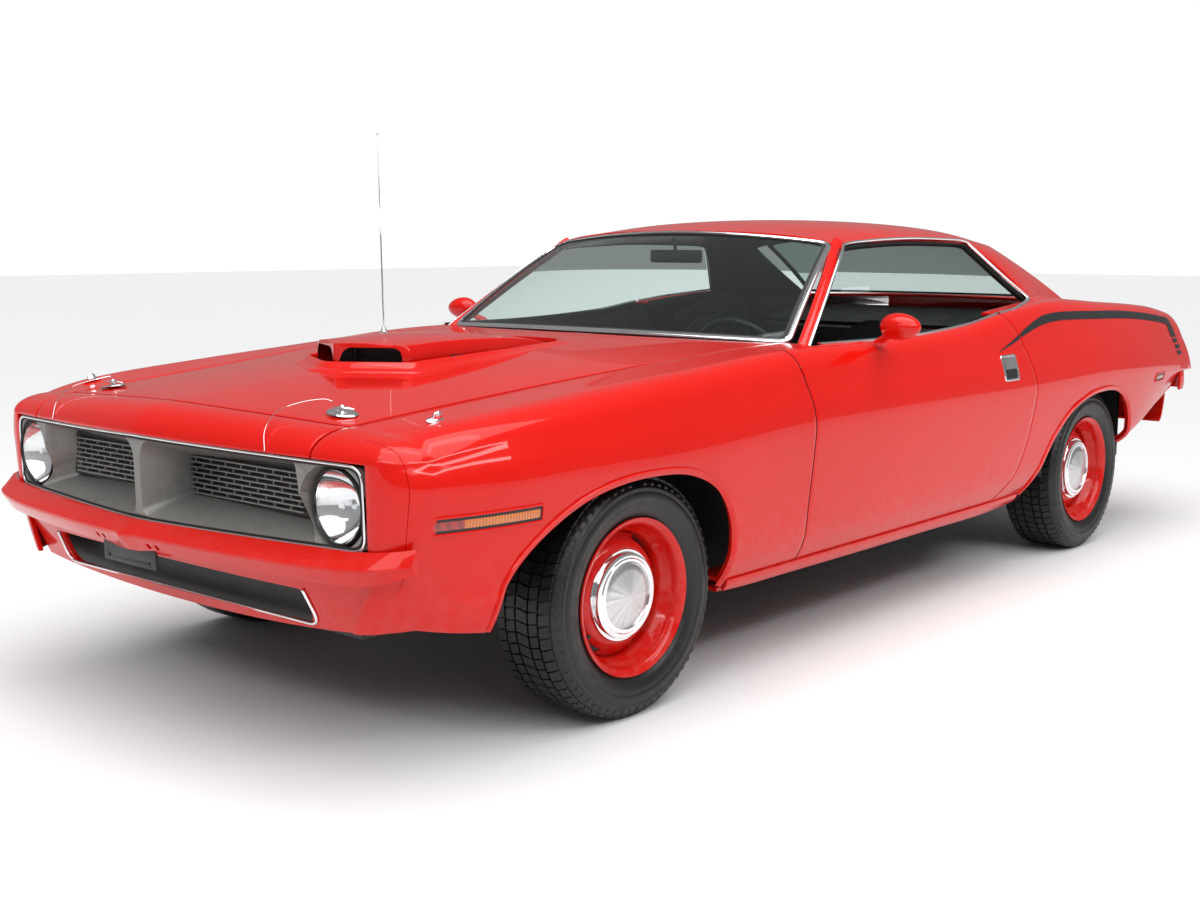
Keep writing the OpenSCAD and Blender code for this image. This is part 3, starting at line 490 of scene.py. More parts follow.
class Finish:
    """One material: its nodes, its shader and its sockets."""

    def __init__(self, name, base, rough, **constants):
        self.material = bpy.data.materials.new(name)
        self.material.use_nodes = True
        self.tree = self.material.node_tree
        self.shader = self.tree.nodes["Principled BSDF"] if "Principled BSDF" in self.tree.nodes else None
        if self.shader is None:
            self.shader = self.tree.nodes.new("ShaderNodeBsdfPrincipled")
            output = self.tree.nodes.new("ShaderNodeOutputMaterial")
            self.tree.links.new(self.shader.outputs[0], output.inputs["Surface"])
        self.material.diffuse_color = (*base[:3], 1)
        self.feed(Base_Color=(*base[:3], 1), Roughness=rough, **constants)

    def set(self, socket, value):
        if isinstance(value, Wire):
            self.tree.links.new(value.socket, socket)
        elif isinstance(value, (tuple, list)) and len(value) == 3 and socket.type == "RGBA":
            socket.default_value = (*value, 1)
        else:
            socket.default_value = value

    def node(self, kind, settings=None, values=None, out=0):
        """Any node: its type, its settings, its sockets' values or links, and the output wanted."""
        node = self.tree.nodes.new(kind)
        for key, value in (settings or {}).items():
            if key == "stops":
                ramp = node.color_ramp
                while len(ramp.elements) < len(value):
                    ramp.elements.new(0.5)
                for stop, (place, colour) in zip(ramp.elements, value):
                    stop.position, stop.color = place, (*colour, 1)
            else:
                setattr(node, key, value)
        for key, value in (values or {}).items():
            self.set(node.inputs[key], value)
        return Wire(self, node.outputs[out])

    def place(self, scale=(1, 1, 1), turn=(0, 0, 0), at=(0, 0, 0)):
        """Object coordinates in metres, moved, turned and stretched."""
        coords = self.node("ShaderNodeTexCoord", out="Object")
        return self.node("ShaderNodeMapping", {"vector_type": "POINT"},
                         {"Vector": coords, "Location": at, "Rotation": turn, "Scale": scale})

    def noise(self, scale, detail=3.0, rough=0.5, where=None, stretch=(1, 1, 1)):
        return self.node("ShaderNodeTexNoise", None,
                         {"Vector": where or self.place(stretch), "Scale": scale, "Detail": detail,
                          "Roughness": rough})

    def blend(self, share, a, b):
        """Colour a turning into colour b."""
        return self.node("ShaderNodeMix", {"data_type": "RGBA"}, {0: share, 6: a, 7: b}, out=2)

    def bump(self, height, strength, distance):
        return self.node("ShaderNodeBump", None,
                         {"Height": height, "Strength": strength, "Distance": distance})

    def feed(self, **sockets):
        """Values or wires for the shader's own sockets, with _ for each space in a name."""
        for key, value in sockets.items():
            self.set(self.shader.inputs[key.replace("_", " ")], value)
        return self


def paint_finish(name, colour, coat=0.62):
    """Glossy body enamel: slight mottling, a trace of orange peel, and dust towards the sills."""
    f = Finish(name, colour, 0.32, Coat_Weight=coat, Coat_Roughness=0.02, IOR=1.5)
    f.shader.inputs["Specular IOR Level"].default_value = 0.08
    mottle = f.noise(1.6, 4.0)
    deep = tuple(c * 0.9 for c in colour[:3])
    height = f.node("ShaderNodeSeparateXYZ", None, {0: f.place()}, out="Z")
    dust = (1 - height.held(0.2, 0.62)) * f.noise(26, 5.0, 0.6).held(0.42, 0.75) * 0.16
    f.feed(Base_Color=f.blend(dust, f.blend(mottle.held(0.3, 0.7), colour, deep), (0.42, 0.3, 0.26)),
           Roughness=0.26 + mottle * 0.08 + dust * 0.9,
           Normal=f.bump(f.noise(420, 2.0), 0.06, 0.0004))
    return f.material


def argent_finish():
    """Satin silver-grey paint with fine flake and faint handling marks."""
    f = Finish("argent_paint", (0.23, 0.225, 0.21), 0.42, Metallic=0.35)
    flake = f.node("ShaderNodeTexVoronoi", None, {"Vector": f.place(), "Scale": 900.0}, out="Distance")
    marks = f.noise(16, 6.0, 0.62).held(0.55, 0.75)
    f.feed(Base_Color=f.blend(marks * 0.5, f.blend(flake, (0.27, 0.265, 0.25), (0.2, 0.195, 0.185)),
                              (0.14, 0.135, 0.125)),
           Roughness=0.36 + marks * 0.16 + flake * 0.06,
           Normal=f.bump(f.noise(300, 3.0), 0.08, 0.0003))
    return f.material


def chrome_finish():
    """Polished chrome with slight clouding in its plate."""
    f = Finish("chrome_plate", (0.86, 0.865, 0.88), 0.08, Metallic=1.0)
    cloud = f.noise(14, 5.0, 0.6).held(0.5, 0.8)
    f.feed(Base_Color=f.blend(cloud, (0.87, 0.875, 0.89), (0.7, 0.7, 0.71)), Roughness=0.06 + cloud * 0.12)
    return f.material


def brushed_finish():
    """Spun and brushed stainless steel of the hub caps, brushed out from each wheel's middle."""
    f = Finish("brushed_cap", (0.72, 0.72, 0.72), 0.3, Metallic=1.0)
    spokes = f.node("ShaderNodeAttribute", {"attribute_name": "spoke"}, out="Fac")
    fine = f.node("ShaderNodeTexNoise", {"noise_dimensions": "1D"},
                  {"W": spokes, "Scale": 5.0, "Detail": 5.0, "Roughness": 0.7})
    f.feed(Base_Color=f.blend(fine.held(0.25, 0.75), (0.8, 0.8, 0.8), (0.5, 0.5, 0.51)),
           Roughness=0.2 + fine * 0.22)
    return f.material


def satin_black_finish(name, base, rough, grain=240.0, depth=0.15):
    """Moulded or sprayed black with a fine grain and a little bloom."""
    f = Finish(name, base, rough)
    bloom = f.noise(9, 5.0, 0.6).held(0.4, 0.8)
    f.feed(Base_Color=f.blend(bloom * 0.35, base, tuple(c * 2.2 + 0.004 for c in base)),
           Roughness=rough + bloom * 0.12,
           Normal=f.bump(f.noise(grain, 4.0, 0.6), depth, 0.0006))
    return f.material


def glass_finish(name, tint):
    """Clear green-tinted safety glass with a faint film of dust."""
    f = Finish(name, tint, 0.0, Transmission_Weight=1.0, IOR=1.45)
    f.feed(Roughness=f.noise(7, 4.0).held(0.55, 0.9) * 0.03)
    return f.material


def vinyl_finish():
    """Black grained vinyl of the seats and trim, rubbed glossier in patches."""
    f = Finish("grained_vinyl", (0.012, 0.012, 0.013), 0.42)
    grain = f.node("ShaderNodeTexVoronoi", {"feature": "DISTANCE_TO_EDGE"},
                   {"Vector": f.place(), "Scale": 420.0}, out="Distance")
    rubbed = f.noise(6, 4.0).held(0.45, 0.7)
    f.feed(Base_Color=f.blend(rubbed, (0.01, 0.01, 0.011), (0.02, 0.02, 0.021)),
           Roughness=0.5 - rubbed * 0.14,
           Normal=f.bump(grain.held(0.0, 0.12), 0.3, 0.0006))
    return f.material


def tyre_finish():
    """Dressed black rubber: dark, a little glossy, with dust in the low places."""
    f = Finish("tyre_rubber", (0.006, 0.006, 0.006), 0.5)
    dust = f.noise(34, 6.0, 0.65).held(0.5, 0.78)
    f.feed(Base_Color=f.blend(dust * 0.5, (0.006, 0.006, 0.006), (0.016, 0.015, 0.014)),
           Roughness=0.4 + dust * 0.3,
           Normal=f.bump(f.noise(260, 4.0), 0.14, 0.0005))
    return f.material


def steel_finish(name, base, rough):
    """Chassis steel with scale and a little surface rust."""
    f = Finish(name, base, rough, Metallic=0.55)
    rust = f.noise(12, 7.0, 0.65).held(0.56, 0.72)
    f.feed(Base_Color=f.blend(rust * 0.6, base, (0.09, 0.045, 0.025)), Roughness=rough + rust * 0.25,
           Metallic=0.55 - rust * 0.45, Normal=f.bump(f.noise(150, 5.0), 0.25, 0.001))
    return f.material


def lens_finish(name, tint, ribs, glow=0.0):
    """Moulded lamp plastic with fine flutes inside."""
    f = Finish(name, tint, 0.12, Coat_Weight=1.0, Coat_Roughness=0.02)
    across = f.node("ShaderNodeSeparateXYZ", None, {0: f.place()}, out=ribs)
    flute = f.node("ShaderNodeMath", {"operation": "PINGPONG"}, {0: across, 1: 0.004}) * 250.0
    f.feed(Base_Color=f.blend(flute, tint, tuple(c * 0.45 for c in tint)), Roughness=0.1 + flute * 0.12,
           Normal=f.bump(flute, 0.3, 0.001))
    return f.material


FINISHES = {}


def make_finishes(settings):
    red = tuple(settings.paint_colour)
    FINISHES.update({
        "paint": paint_finish("red_enamel", red),
        "wheel_paint": paint_finish("wheel_enamel", tuple(c * 0.94 for c in red)),
        "argent": argent_finish(),
        "chrome": chrome_finish(),
        "brushed": brushed_finish(),
        "black_paint": satin_black_finish("satin_black_paint", (0.012, 0.012, 0.012), 0.42, 300.0, 0.08),
        "stripe": satin_black_finish("stripe_film", tuple(settings.stripe_colour), 0.38, 420.0, 0.05),
        "glass": glass_finish("tinted_glass", (0.74, 0.88, 0.84)),
        "lamp_glass": glass_finish("lamp_glass", (0.97, 0.98, 0.98)),
        "vinyl": vinyl_finish(),
        "black_plastic": satin_black_finish("black_plastic", (0.014, 0.014, 0.014), 0.48, 200.0, 0.2),
        "rubber": satin_black_finish("seal_rubber", (0.01, 0.01, 0.01), 0.55, 180.0, 0.2),
        "carpet": satin_black_finish("loop_carpet", (0.01, 0.01, 0.01), 0.9, 700.0, 0.9),
        "tyre": tyre_finish(),
        "steel": steel_finish("chassis_steel", (0.06, 0.06, 0.06), 0.55),
        "underbody": satin_black_finish("underseal", (0.012, 0.012, 0.012), 0.75, 90.0, 0.6),
        "red_lens": lens_finish("red_lens", (0.42, 0.008, 0.006), "X"),
        "amber_lens": lens_finish("amber_lens", (0.8, 0.2, 0.01), "Y"),
    })


# ---- Settings ----

class MuscleCarSettings(bpy.types.PropertyGroup):
    """Sizes and colours of the car's finished surfaces"""
    paint_colour: bpy.props.FloatVectorProperty(
        name="Paint Colour", description="Colour of the body enamel", default=(0.68, 0.006, 0.002),
        subtype="COLOR", size=3, min=0, max=1)
    stripe_colour: bpy.props.FloatVectorProperty(
        name="Stripe Colour", description="Colour of the side stripes", default=(0.012, 0.012, 0.013),
        subtype="COLOR", size=3, min=0, max=1)
    panel_wall: bpy.props.FloatProperty(
        name="Panel Wall", description="Depth of a panel with its folded edge", default=0.012,
        min=0.004, max=0.02, unit="LENGTH", subtype="DISTANCE")
    panel_gap: bpy.props.FloatProperty(
        name="Panel Gap", description="Gap shown round the hood and the decklid", default=0.005,
        min=0.002, max=0.01, unit="LENGTH", subtype="DISTANCE")
    tread_pitches: bpy.props.IntProperty(
        name="Tread Pitches", description="Number of block rows round a tyre", default=64, min=24, max=90)
    mesh_bars: bpy.props.IntProperty(
        name="Grille Bars", description="Bars in each half of the grille", default=8, min=3, max=14)
    stripe_width: bpy.props.FloatProperty(
        name="Stripe Width", description="Width of the side stripe along the quarter", default=0.030,
        min=0.01, max=0.08, unit="LENGTH", subtype="DISTANCE")
    wheel_slots: bpy.props.IntProperty(
        name="Wheel Slots", description="Slots between the wheel's centre and its rim", default=4, min=3,
        max=8)


class CarPiece:
    """What the car's building steps share."""
    bl_options = {"REGISTER", "UNDO"}

    def execute(self, context):
        self.build(context.scene.muscle_car)
        return {"FINISHED"}


# ---- Body panels ----

def fender_side(settings):
    bend = [90, 80, 70, 60, 50, 41, 32, 24, 15, 7]
    stations = [mix(NOSE_START, -601, k / 84) for k in range(85)]
    rows = panel_rows()

    def point(u, v):
        i, row = round(u * (len(bend) + 84)), rows[round(v * (len(rows) - 1))]
        if i < len(bend):
            return nose_point(side_point(NOSE_START, row), bend[i])
        return side_point(stations[i - len(bend)], row)
    return thicken(outwards(sheet("fender", len(bend) + 84, len(rows) - 1, point)), settings.panel_wall / MM)


def panel_rows(low=0.0, high=5.0):
    """Rows of the body side: close together round the shoulder."""
    rows = [k / 8 for k in range(0, 24)] + [3 + k / 14 for k in range(15)] + [4 + k / 6 for k in range(1, 7)]
    return [r for r in rows if low <= r <= high]


def outwards(piece):
    """Turns an open sheet's faces away from the middle of the car."""
    total = sum((face.normal.x * face.center.x * 0.4 + face.normal.z * (face.center.z - 0.5)) * face.area
                for face in piece.data.polygons)
    return flip(piece) if total < 0 else piece


def arch_cutter(outline):
    return prism("arch_cutter", smooth_outline(outline, 60), 690, 1100)


def door_outline(front_gap, rear_gap, low):
    front = [(curve(DOOR_FRONT, z) - front_gap, z) for z in [mix(low, 1010, k / 24) for k in range(25)]]
    rear = [(curve(DOOR_REAR, z) + rear_gap, z) for z in [mix(1010, low, k / 30) for k in range(31)]]
    return front + rear


def tucked(piece):
    """Draws the low front corners inwards below the bumper."""
    for vert in piece.data.vertices:
        x, y, z = vert.co / MM
        ahead, below = min(1, max(0, (-1965 - y) / 200)), min(1, max(0, (490 - z) / 150))
        vert.co.x -= math.copysign(72 * ahead * below * min(1, abs(x) / 750) ** 4, x) * MM
    piece.data.update()
    return piece


class MUSCLECAR_OT_front_fenders(CarPiece, bpy.types.Operator):
    """Front fenders with their wheel openings and the seam of the nose cap"""
    bl_idname = "muscle_car.front_fenders"
    bl_label = "Front Fenders"

    def build(self, settings):
        piece = fender_side(settings)
        cut(piece, arch_cutter(FRONT_ARCH), prism("door_cutter", door_outline(5, 5, SILL_TOP - 9), 822, 1100),
            block("sill_cutter", (600, -1100, 0), (1000, -500, SILL_TOP - 5)),
            block("cap_seam", (700, -2176.5, 470), (1000, -2175, 1000)))
        tucked(soften(piece, 1.6))
        finished(mirrored(piece), "root", "paint", "front_fenders")


class MUSCLECAR_OT_arch_lips(CarPiece, bpy.types.Operator):
    """Rolled and flared lips round the four wheel openings"""
    bl_idname = "muscle_car.arch_lips"
    bl_label = "Wheel Arch Lips"

    def build(self, settings):
        for name, outline, body_rows in (("front", FRONT_ARCH, None), ("rear", REAR_ARCH, None)):
            path, out = [], []
            for y, z in smooth_outline(outline, 96):
                low = side_point(y, 0).z
                if z < low + 2:
                    continue
                v = row_at_height(y, z)
                path.append(side_point(y, v) + Vector((1.5, 0, 0)))
                out.append((1, 0, 0))
            # A rolled edge that stands a little proud, then turns in behind the panel.
            profile = [(-15, -3), (-10, 1.2), (-4, 4.6), (1, 5.2), (3.2, 2.5), (3.6, -4), (3.4, -22),
                       (0.6, -23), (-1, -6), (-8, -5)]
            turn = -1 if (path[len(path) // 2] - path[0]).cross(Vector((1, 0, 0))).z < 0 else 1
            piece = swept(name + "_arch_lip", path, [(a * turn, b) for a, b in profile], out)
            finished(mirrored(piece), "root", "paint", angle=50)


def row_at_height(y, z):
    """The row of the body side whose height at station y is z."""
    low, high = 0.0, 4.0
    for _ in range(24):
        middle = (low + high) / 2
        if side_point(y, middle).z < z:
            low = middle
        else:
            high = middle
    return low


class MUSCLECAR_OT_nose_header(CarPiece, bpy.types.Operator):
    """Strip across the nose between the hood and the grille"""
    bl_idname = "muscle_car.nose_header"
    bl_label = "Nose Header"

    def build(self, settings):
        share = 1 - settings.panel_gap / MM / 600

        def point(u, v):
            x = mix(-share, share, u)
            p = top_point(hood_front(x * 598), x)
            q = nose_point(Vector((abs(p.x), p.y, p.z)), v * 90)
            return (math.copysign(q.x, x), q.y, q.z)
        piece = thicken(outwards(sheet("nose_header", 96, 22, point)), settings.panel_wall / MM)
        finished(soften(piece, 1.4), "root", "paint", "header_panel")


class MUSCLECAR_OT_hood(CarPiece, bpy.types.Operator):
    """Hood with the hole for the scoop"""
    bl_idname = "muscle_car.hood"
    bl_label = "Hood"

    def build(self, settings):
        gap = settings.panel_gap / MM
        share = 1 - gap / 600

        def point(u, v):
            x = mix(-share, share, u)
            y = mix(hood_front(x * 598) + gap, hood_rear(x * 700), v)
            return top_point(y, x)
        piece = thicken(outwards(sheet("hood", 96, 96, point)), settings.panel_wall / MM)
        cut(piece, prism("scoop_cutter", scoop_outline(20), 700, 1100, "Z"))
        soften(piece, 1.4)
        collar = hood_collar()
        lugs = joined("hood_lugs", *[block("lug", (s * 650 - 8, -664, 887), (s * 650 + 8, -625, 900),
                                           2) for s in (-1, 1)])
        finished(joined("hood_skin", piece, collar, lugs), "hood", "paint", "hood", angle=34)


def hood_collar():
    """Raised rim, in two steps, round the hole for the scoop."""
    loops = []
    for grow, rise in ((74, -3), (70, 0.6), (58, 6), (48, 8), (44, 9), (34, 20), (27, 23), (22, 20),
                       (19.5, 12), (19, -8)):
        loop = []
        for x, y in scoop_outline(grow):
            share = mix(1, 0.3, min(1, max(0, (y + 1560) / 520)))
            rear = min(1, max(0.12, (-890 - y) / 90))
            loop.append(Vector((x, y, top_point(y, x / 640).z + (rise * share * rear if rise > 0 else rise))))
        loops.append(loop)
    count = len(loops[0])
    piece = sheet("hood_collar", count, len(loops) - 1,
                  lambda u, v: loops[round(v * (len(loops) - 1))][round(u * count) % count])
    return outwards(tidy_mesh(piece))


SCOOP_PLAN = [[-1700, 0.02], [-1612, 1], [-1300, 0.97], [-1000, 0.72], [-930, 0.4]]


def scoop_outline(grow, half=200):
    corners = [(share * half, y) for y, share in SCOOP_PLAN]
    outline = [(max(x, 8), y) for x, y in corners] + [(-max(x, 8), y) for x, y in reversed(corners)]
    grown = []
    for i, p in enumerate(outline):
        a, b = Vector(outline[i - 1]), Vector(outline[(i + 1) % len(outline)])
        tangent = (b - a).normalized()
        normal = Vector((tangent.y, -tangent.x))
        if normal.dot(Vector(p) - Vector((0, -1300))) < 0:
            normal = -normal
        q = Vector(p) + normal * grow
        grown.append((q.x, q.y))
    return rounded(grown, 26, 5)


def lined(piece):
    """Gives the faces that look into the car a black lining."""
    piece.data.materials.append(FINISHES["black_plastic"])
    for face in piece.data.polygons:
        n, c = face.normal, face.center
        if n.x * c.x + n.z * (c.z - 0.75) < -0.12:
            face.material_index = 1
    return piece


class MUSCLECAR_OT_shaker_scoop(CarPiece, bpy.types.Operator):
    """Scoop that stands on the engine and comes up through the hood"""
    bl_idname = "muscle_car.shaker_scoop"
    bl_label = "Shaker Scoop"

    def build(self, settings):
        def station(t):
            return mix(-1700, -1592, t / 0.36) if t < 0.36 else mix(-1592, -934, (t - 0.36) / 0.64)

        def half(y):
            if y > -1600:
                return curve([[-1600, 197], [-1300, 190], [-1000, 142], [-934, 96]], y)
            share = (y + 1700) / 88
            return 3 + 194 * (share if share < 0.86 else 0.86 + 0.14 * math.sin((share - 0.86) / 0.28 * math.pi / 2))

        def top(y, x):
            crown = curve([[-1700, 944], [-1620, 951], [-1400, 957], [-1180, 947], [-1000, 918], [-934, 892]],
                          y)
            return crown - 12 * (abs(x) / 196) ** 2.2

        def point(u, v):
            y = station(u)
            angle = mix(-1, 1, v)
            w, side = abs(angle), math.copysign(1, angle)
            if w < 0.55:
                x = half(y) * 0.94 * w / 0.55
                return (side * x, y, top(y, x))
            t = (w - 0.55) / 0.45
            x = half(y) * (0.94 + 0.06 * math.sin(min(1, t * 3.4) * math.pi / 2))
            edge = top(y, half(y) * 0.94)
            return (side * x, y, mix(edge, 824, max(0, t - 0.05) / 0.95) - 5 * min(1, t * 6))
        shell = sheet("scoop_shell", 80, 84, point)
        edit(shell)
        bpy.ops.mesh.fill_holes(sides=0)
        bpy.ops.mesh.normals_make_consistent(inside=False)
        done()
        # Two wide nostrils, one in each slanted half of the front.
        along, inward = Vector((196, 88)).normalized(), Vector((-88, 196)).normalized()
        outline = rounded([(3, 872), (200, 872), (200, 934), (30, 934)], [10, 30, 30, 24], 7)
        for side in (1, -1):
            loops = []
            for depth, shrink in ((-40, 0), (14, 0), (16, 4), (90, 9)):
                loop = []
                for s, z in outline:
                    s, z = s + (104 - s) * shrink / 95, z + (900 - z) * shrink / 27
                    q = Vector((0, -1700)) + along * s + inward * depth
                    loop.append((side * q.x, q.y, z))
                loops.append(loop)
            cut(shell, drape("nostril", loops))
        soften(shell, 2.2, 38, 3)
        finished(shell, "root", "paint", "shaker_scoop", angle=40)
        for side, name in ((1, "left"), (-1, "right")):
            honeycomb(name + "_nostril_mesh", side, along, inward)
            strips = []
            for y0, y1 in ((-1456, -1340), (-1322, -1176)):
                strips.append(thicken(sheet("strip", 20, 4, lambda u, v, y0=y0, y1=y1: (
                    side * (half(mix(y0, y1, u)) + 0.8), mix(y0, y1, u), mix(895, 908, v) - 3 * u)), 1.4,
                    1 if side > 0 else -1))
            finished(joined(name + "_scoop_strips", *strips), "root", "black_plastic")


def honeycomb(name, side, along, inward):
    """Six-sided wire mesh set back in a nostril of the scoop."""
    wires = []

    def at(s, z, depth=52):
        q = Vector((0, -1700)) + along * s + inward * depth
        return Vector((side * q.x, q.y, z))
    for row in range(5):
        for column in range(14):
            s, z = 18 + column * 13.5 + (6.75 if row % 2 else 0), 882 + row * 10
            for a in (30, 90, 150):
                c, d = math.cos(math.radians(a)) * 6.6, math.sin(math.radians(a)) * 6.6
                e, g = math.cos(math.radians(a + 60)) * 6.6, math.sin(math.radians(a + 60)) * 6.6
                wires.append(swept("wire", [at(s + c, z + d), at(s + e, z + g)], ring_profile(1.0, 1.0, 4),
                                   (side * inward.x, inward.y, 0)))
    finished(joined(name, *wires), "root", "steel")
    # Black sheet behind the mesh: painted shade standing for the dark inside of the nostril.
    back = sheet(name + "_bed", 8, 2, lambda u, v: at(mix(10, 202, u), mix(868, 932, v), 62))
    finished(thicken(back, 2), "root", "black_plastic")


class MUSCLECAR_OT_roof_and_quarters(CarPiece, bpy.types.Operator):
    """Roof, sail panels and rear quarters as one welded skin"""
    bl_idname = "muscle_car.roof_and_quarters"
    bl_label = "Roof and Quarters"

    def build(self, settings):
        rows = panel_rows()
        lead, sail, tail, end = 20, 26, 34, 10
        stations = ([None] * lead + [mix(985, 1550, k / sail) for k in range(sail)]
                    + [mix(1550, 2160, k / tail) for k in range(tail)] + [2160] + [None] * end)
        edge_gap = 4.5

        def quarter(i, row):
            if i < lead:
                y = 600
                for _ in range(5):
                    y = mix(curve(DOOR_REAR, side_point(y, row).z) + edge_gap, 985, i / lead)
                return side_point(y, row)
            if stations[i] is not None:
                return side_point(stations[i], row)
            k = (i - len(stations) + end + 1) / end
            p = side_point(mix(2160, 2290, k), row)
            return Vector((p.x, mix(2160, tail_y(p.z), k), p.z))

        count = len(stations)
        side = sheet("quarter", count - 1, len(rows) - 1,
                     lambda u, v: quarter(round(u * (count - 1)), rows[round(v * (len(rows) - 1))]))
        # The sail runs from the roof's edge down to the quarter, one column for each station.
        roof_columns, sail_start = 110, 0.758

        def sail_high(k):
            return roof_point(mix(sail_start, 1, k / sail), 1)

        def sail_surface(u, v):
            k = round(u * sail)
            low, high, t = quarter(lead + k, 5.0), sail_high(k), k / sail
            p = high.lerp(low, v) + Vector((13 * (1 - 0.4 * t), -14 * t, 8 * t)) * 4 * v * (1 - v)
            return p + Vector((8, 0, 16)) * 4 * t * (1 - t) * (1 - v) * v * 2
        sail_sheet = sheet("sail", sail, 26, sail_surface)
        front = [mix(0, sail_start, k / 50) for k in range(50)] + [mix(sail_start, 1,
                                                                       k / sail) for k in range(sail + 1)]
        half_roof = sheet("roof", len(front) - 1, 44,
                          lambda u, v: roof_point(front[round(u * (len(front) - 1))], 1 - v))
        skin = mirrored(joined("roof_and_quarters", side, sail_sheet, half_roof))
        edit(skin)
        bpy.ops.mesh.remove_doubles(threshold=0.0004)
        bpy.ops.mesh.normals_make_consistent(inside=False)
        done()
        # Rounded shoulders where the roof turns down into the sail and the sail runs out into the quarter.
        select_only(skin)
        low_ys = (990, 1548)
        for edge in skin.data.edges:
            a, b = (skin.data.vertices[k].co / MM for k in edge.vertices)
            on_roof = all(abs(abs(p.x) - curve(RAIL_LINE,
                                               p.y)) < 1.5 and 740 < p.y < 1030 and p.z > 1190 for p in (a,
                                                                                                         b))
            on_low = all(abs(abs(p.x) - curve(INNER_LINE, p.y)) < 1.5 and low_ys[0] - 10 < p.y < low_ys[1] + 8
                         and abs(p.z - curve(INNER_LINE, p.y, 2)) < 2 for p in (a, b))
            edge.select = on_roof or on_low
        for vert in skin.data.vertices:
            vert.select = False
        for face in skin.data.polygons:
            face.select = False
        bpy.ops.object.mode_set(mode="EDIT")
        bpy.ops.mesh.select_mode(type="EDGE")
        bpy.ops.mesh.bevel(offset=22 * MM, offset_type="OFFSET", segments=5, profile=0.5, clamp_overlap=True)
        done()
        thicken(skin, settings.panel_wall / MM)
        for side_sign in (1, -1):
            cutter = arch_cutter(REAR_ARCH)
            bumper = block("bumper_room", (600, 2182, 300), (1000, 2500, 650))
            if side_sign < 0:
                cutter, bumper = opposite_cutter(cutter), opposite_cutter(bumper)
            cut(skin, cutter, bumper)
        soften(skin, 1.4, 50)
        lined(finished(skin, "root", "paint", "roof_panel", "quarter_panels", angle=36))


def opposite_cutter(cutter):
    copy = opposite(cutter, cutter.name + "_other")
    bpy.data.objects.remove(cutter)
    return copy


def door_skin():
    """The door's outer surface as an aligned sheet: across from front to rear, along from sill to belt."""
    rows = panel_rows(0, 4)

    def at(t, row):
        y = 0.0
        for _ in range(6):
            z = max(side_point(y, row).z, SILL_TOP)
            y = mix(curve(DOOR_FRONT, z), curve(DOOR_REAR, z), t)
        p = side_point(y, row)
        if p.z < SILL_TOP:
            p = side_point(y, row_at_height(y, SILL_TOP))
        return p
    return rows, at


class MUSCLECAR_OT_doors(CarPiece, bpy.types.Operator):
    """Both doors with painted edges and straps for their hinges"""
    bl_idname = "muscle_car.doors"
    bl_label = "Doors"

    def build(self, settings):
        rows, at = door_skin()
        rows = [r for r in rows if r >= 0.2]
        n, m = 72, len(rows)
        piece = sheet("left_door", n, m + 1, lambda u, v: (
            at(u, rows[min(round(v * (m + 1)), m - 1)]) if round(v * (m + 1)) < m else
            at(u, rows[-1]) + Vector((-2, 0, -4 - 20 * (round(v * (m + 1)) - m)))))
        outwards(piece)
        edit(piece)
        bpy.ops.mesh.extrude_region_move(TRANSFORM_OT_translate={"value": (-0.0001, 0, 0)})
        done()
        inner = [v for v in piece.data.vertices if v.select]
        for vert in inner:
            depth = curve(DOOR_FRONT, vert.co.z / MM)
            slant = max(0, 1 - (vert.co.y / MM - depth) / 60) * 20
            vert.co.x = min(vert.co.x, 808 * MM)
            vert.co.y += slant * MM
        edit(piece)
        bpy.ops.mesh.normals_make_consistent(inside=False)
        done()
        soften(piece, 1.8, 50, 2)
        straps = [prism("strap", [(884 + x, -790 + y) for x,
                                  y in ((-10, -8), (-48, 18), (-66, 62), (-40, 62), (-38, 34), (6, 8),
                                        (8, -6))], z, z + 24, "Z")
                  for z in (505, 640)]
        piece = joined("left_door", piece, *straps)
        lined(finished(piece, "left_door", "paint", "left_door", angle=36))
        lined(finished(opposite(piece, "right_door"), "right_door", "paint", "right_door", angle=36))


class MUSCLECAR_OT_rockers_and_valances(CarPiece, bpy.types.Operator):
    """Rocker panels under the doors"""
    bl_idname = "muscle_car.rockers"
    bl_label = "Rocker Panels"

    def build(self, settings):
        def point(u, v):
            y = mix(-1078, 698, u)
            if v < 0.7:
                t = v / 0.7
                row = mix(0.0, row_at_height(y, SILL_TOP - 6), t)
                return side_point(y, row)
            t = (v - 0.7) / 0.3
            p = side_point(y, row_at_height(y, SILL_TOP - 6))
            return (mix(p.x, 752, t), y, mix(p.z, SILL_TOP - 8, min(1, t * 3)))
        piece = thicken(outwards(sheet("rocker", 90, 20, point)), 12)
        cut(piece, arch_cutter(FRONT_ARCH), arch_cutter(REAR_ARCH))
        piece = mirrored(soften(piece, 2))
        under = [block("sill_box", (s * 753, -1078, 262), (s * 838, 690, 272)) for s in (1, -1)]
        finished(joined("rocker_panels", piece, *under), "root", "paint", "rocker_panels")


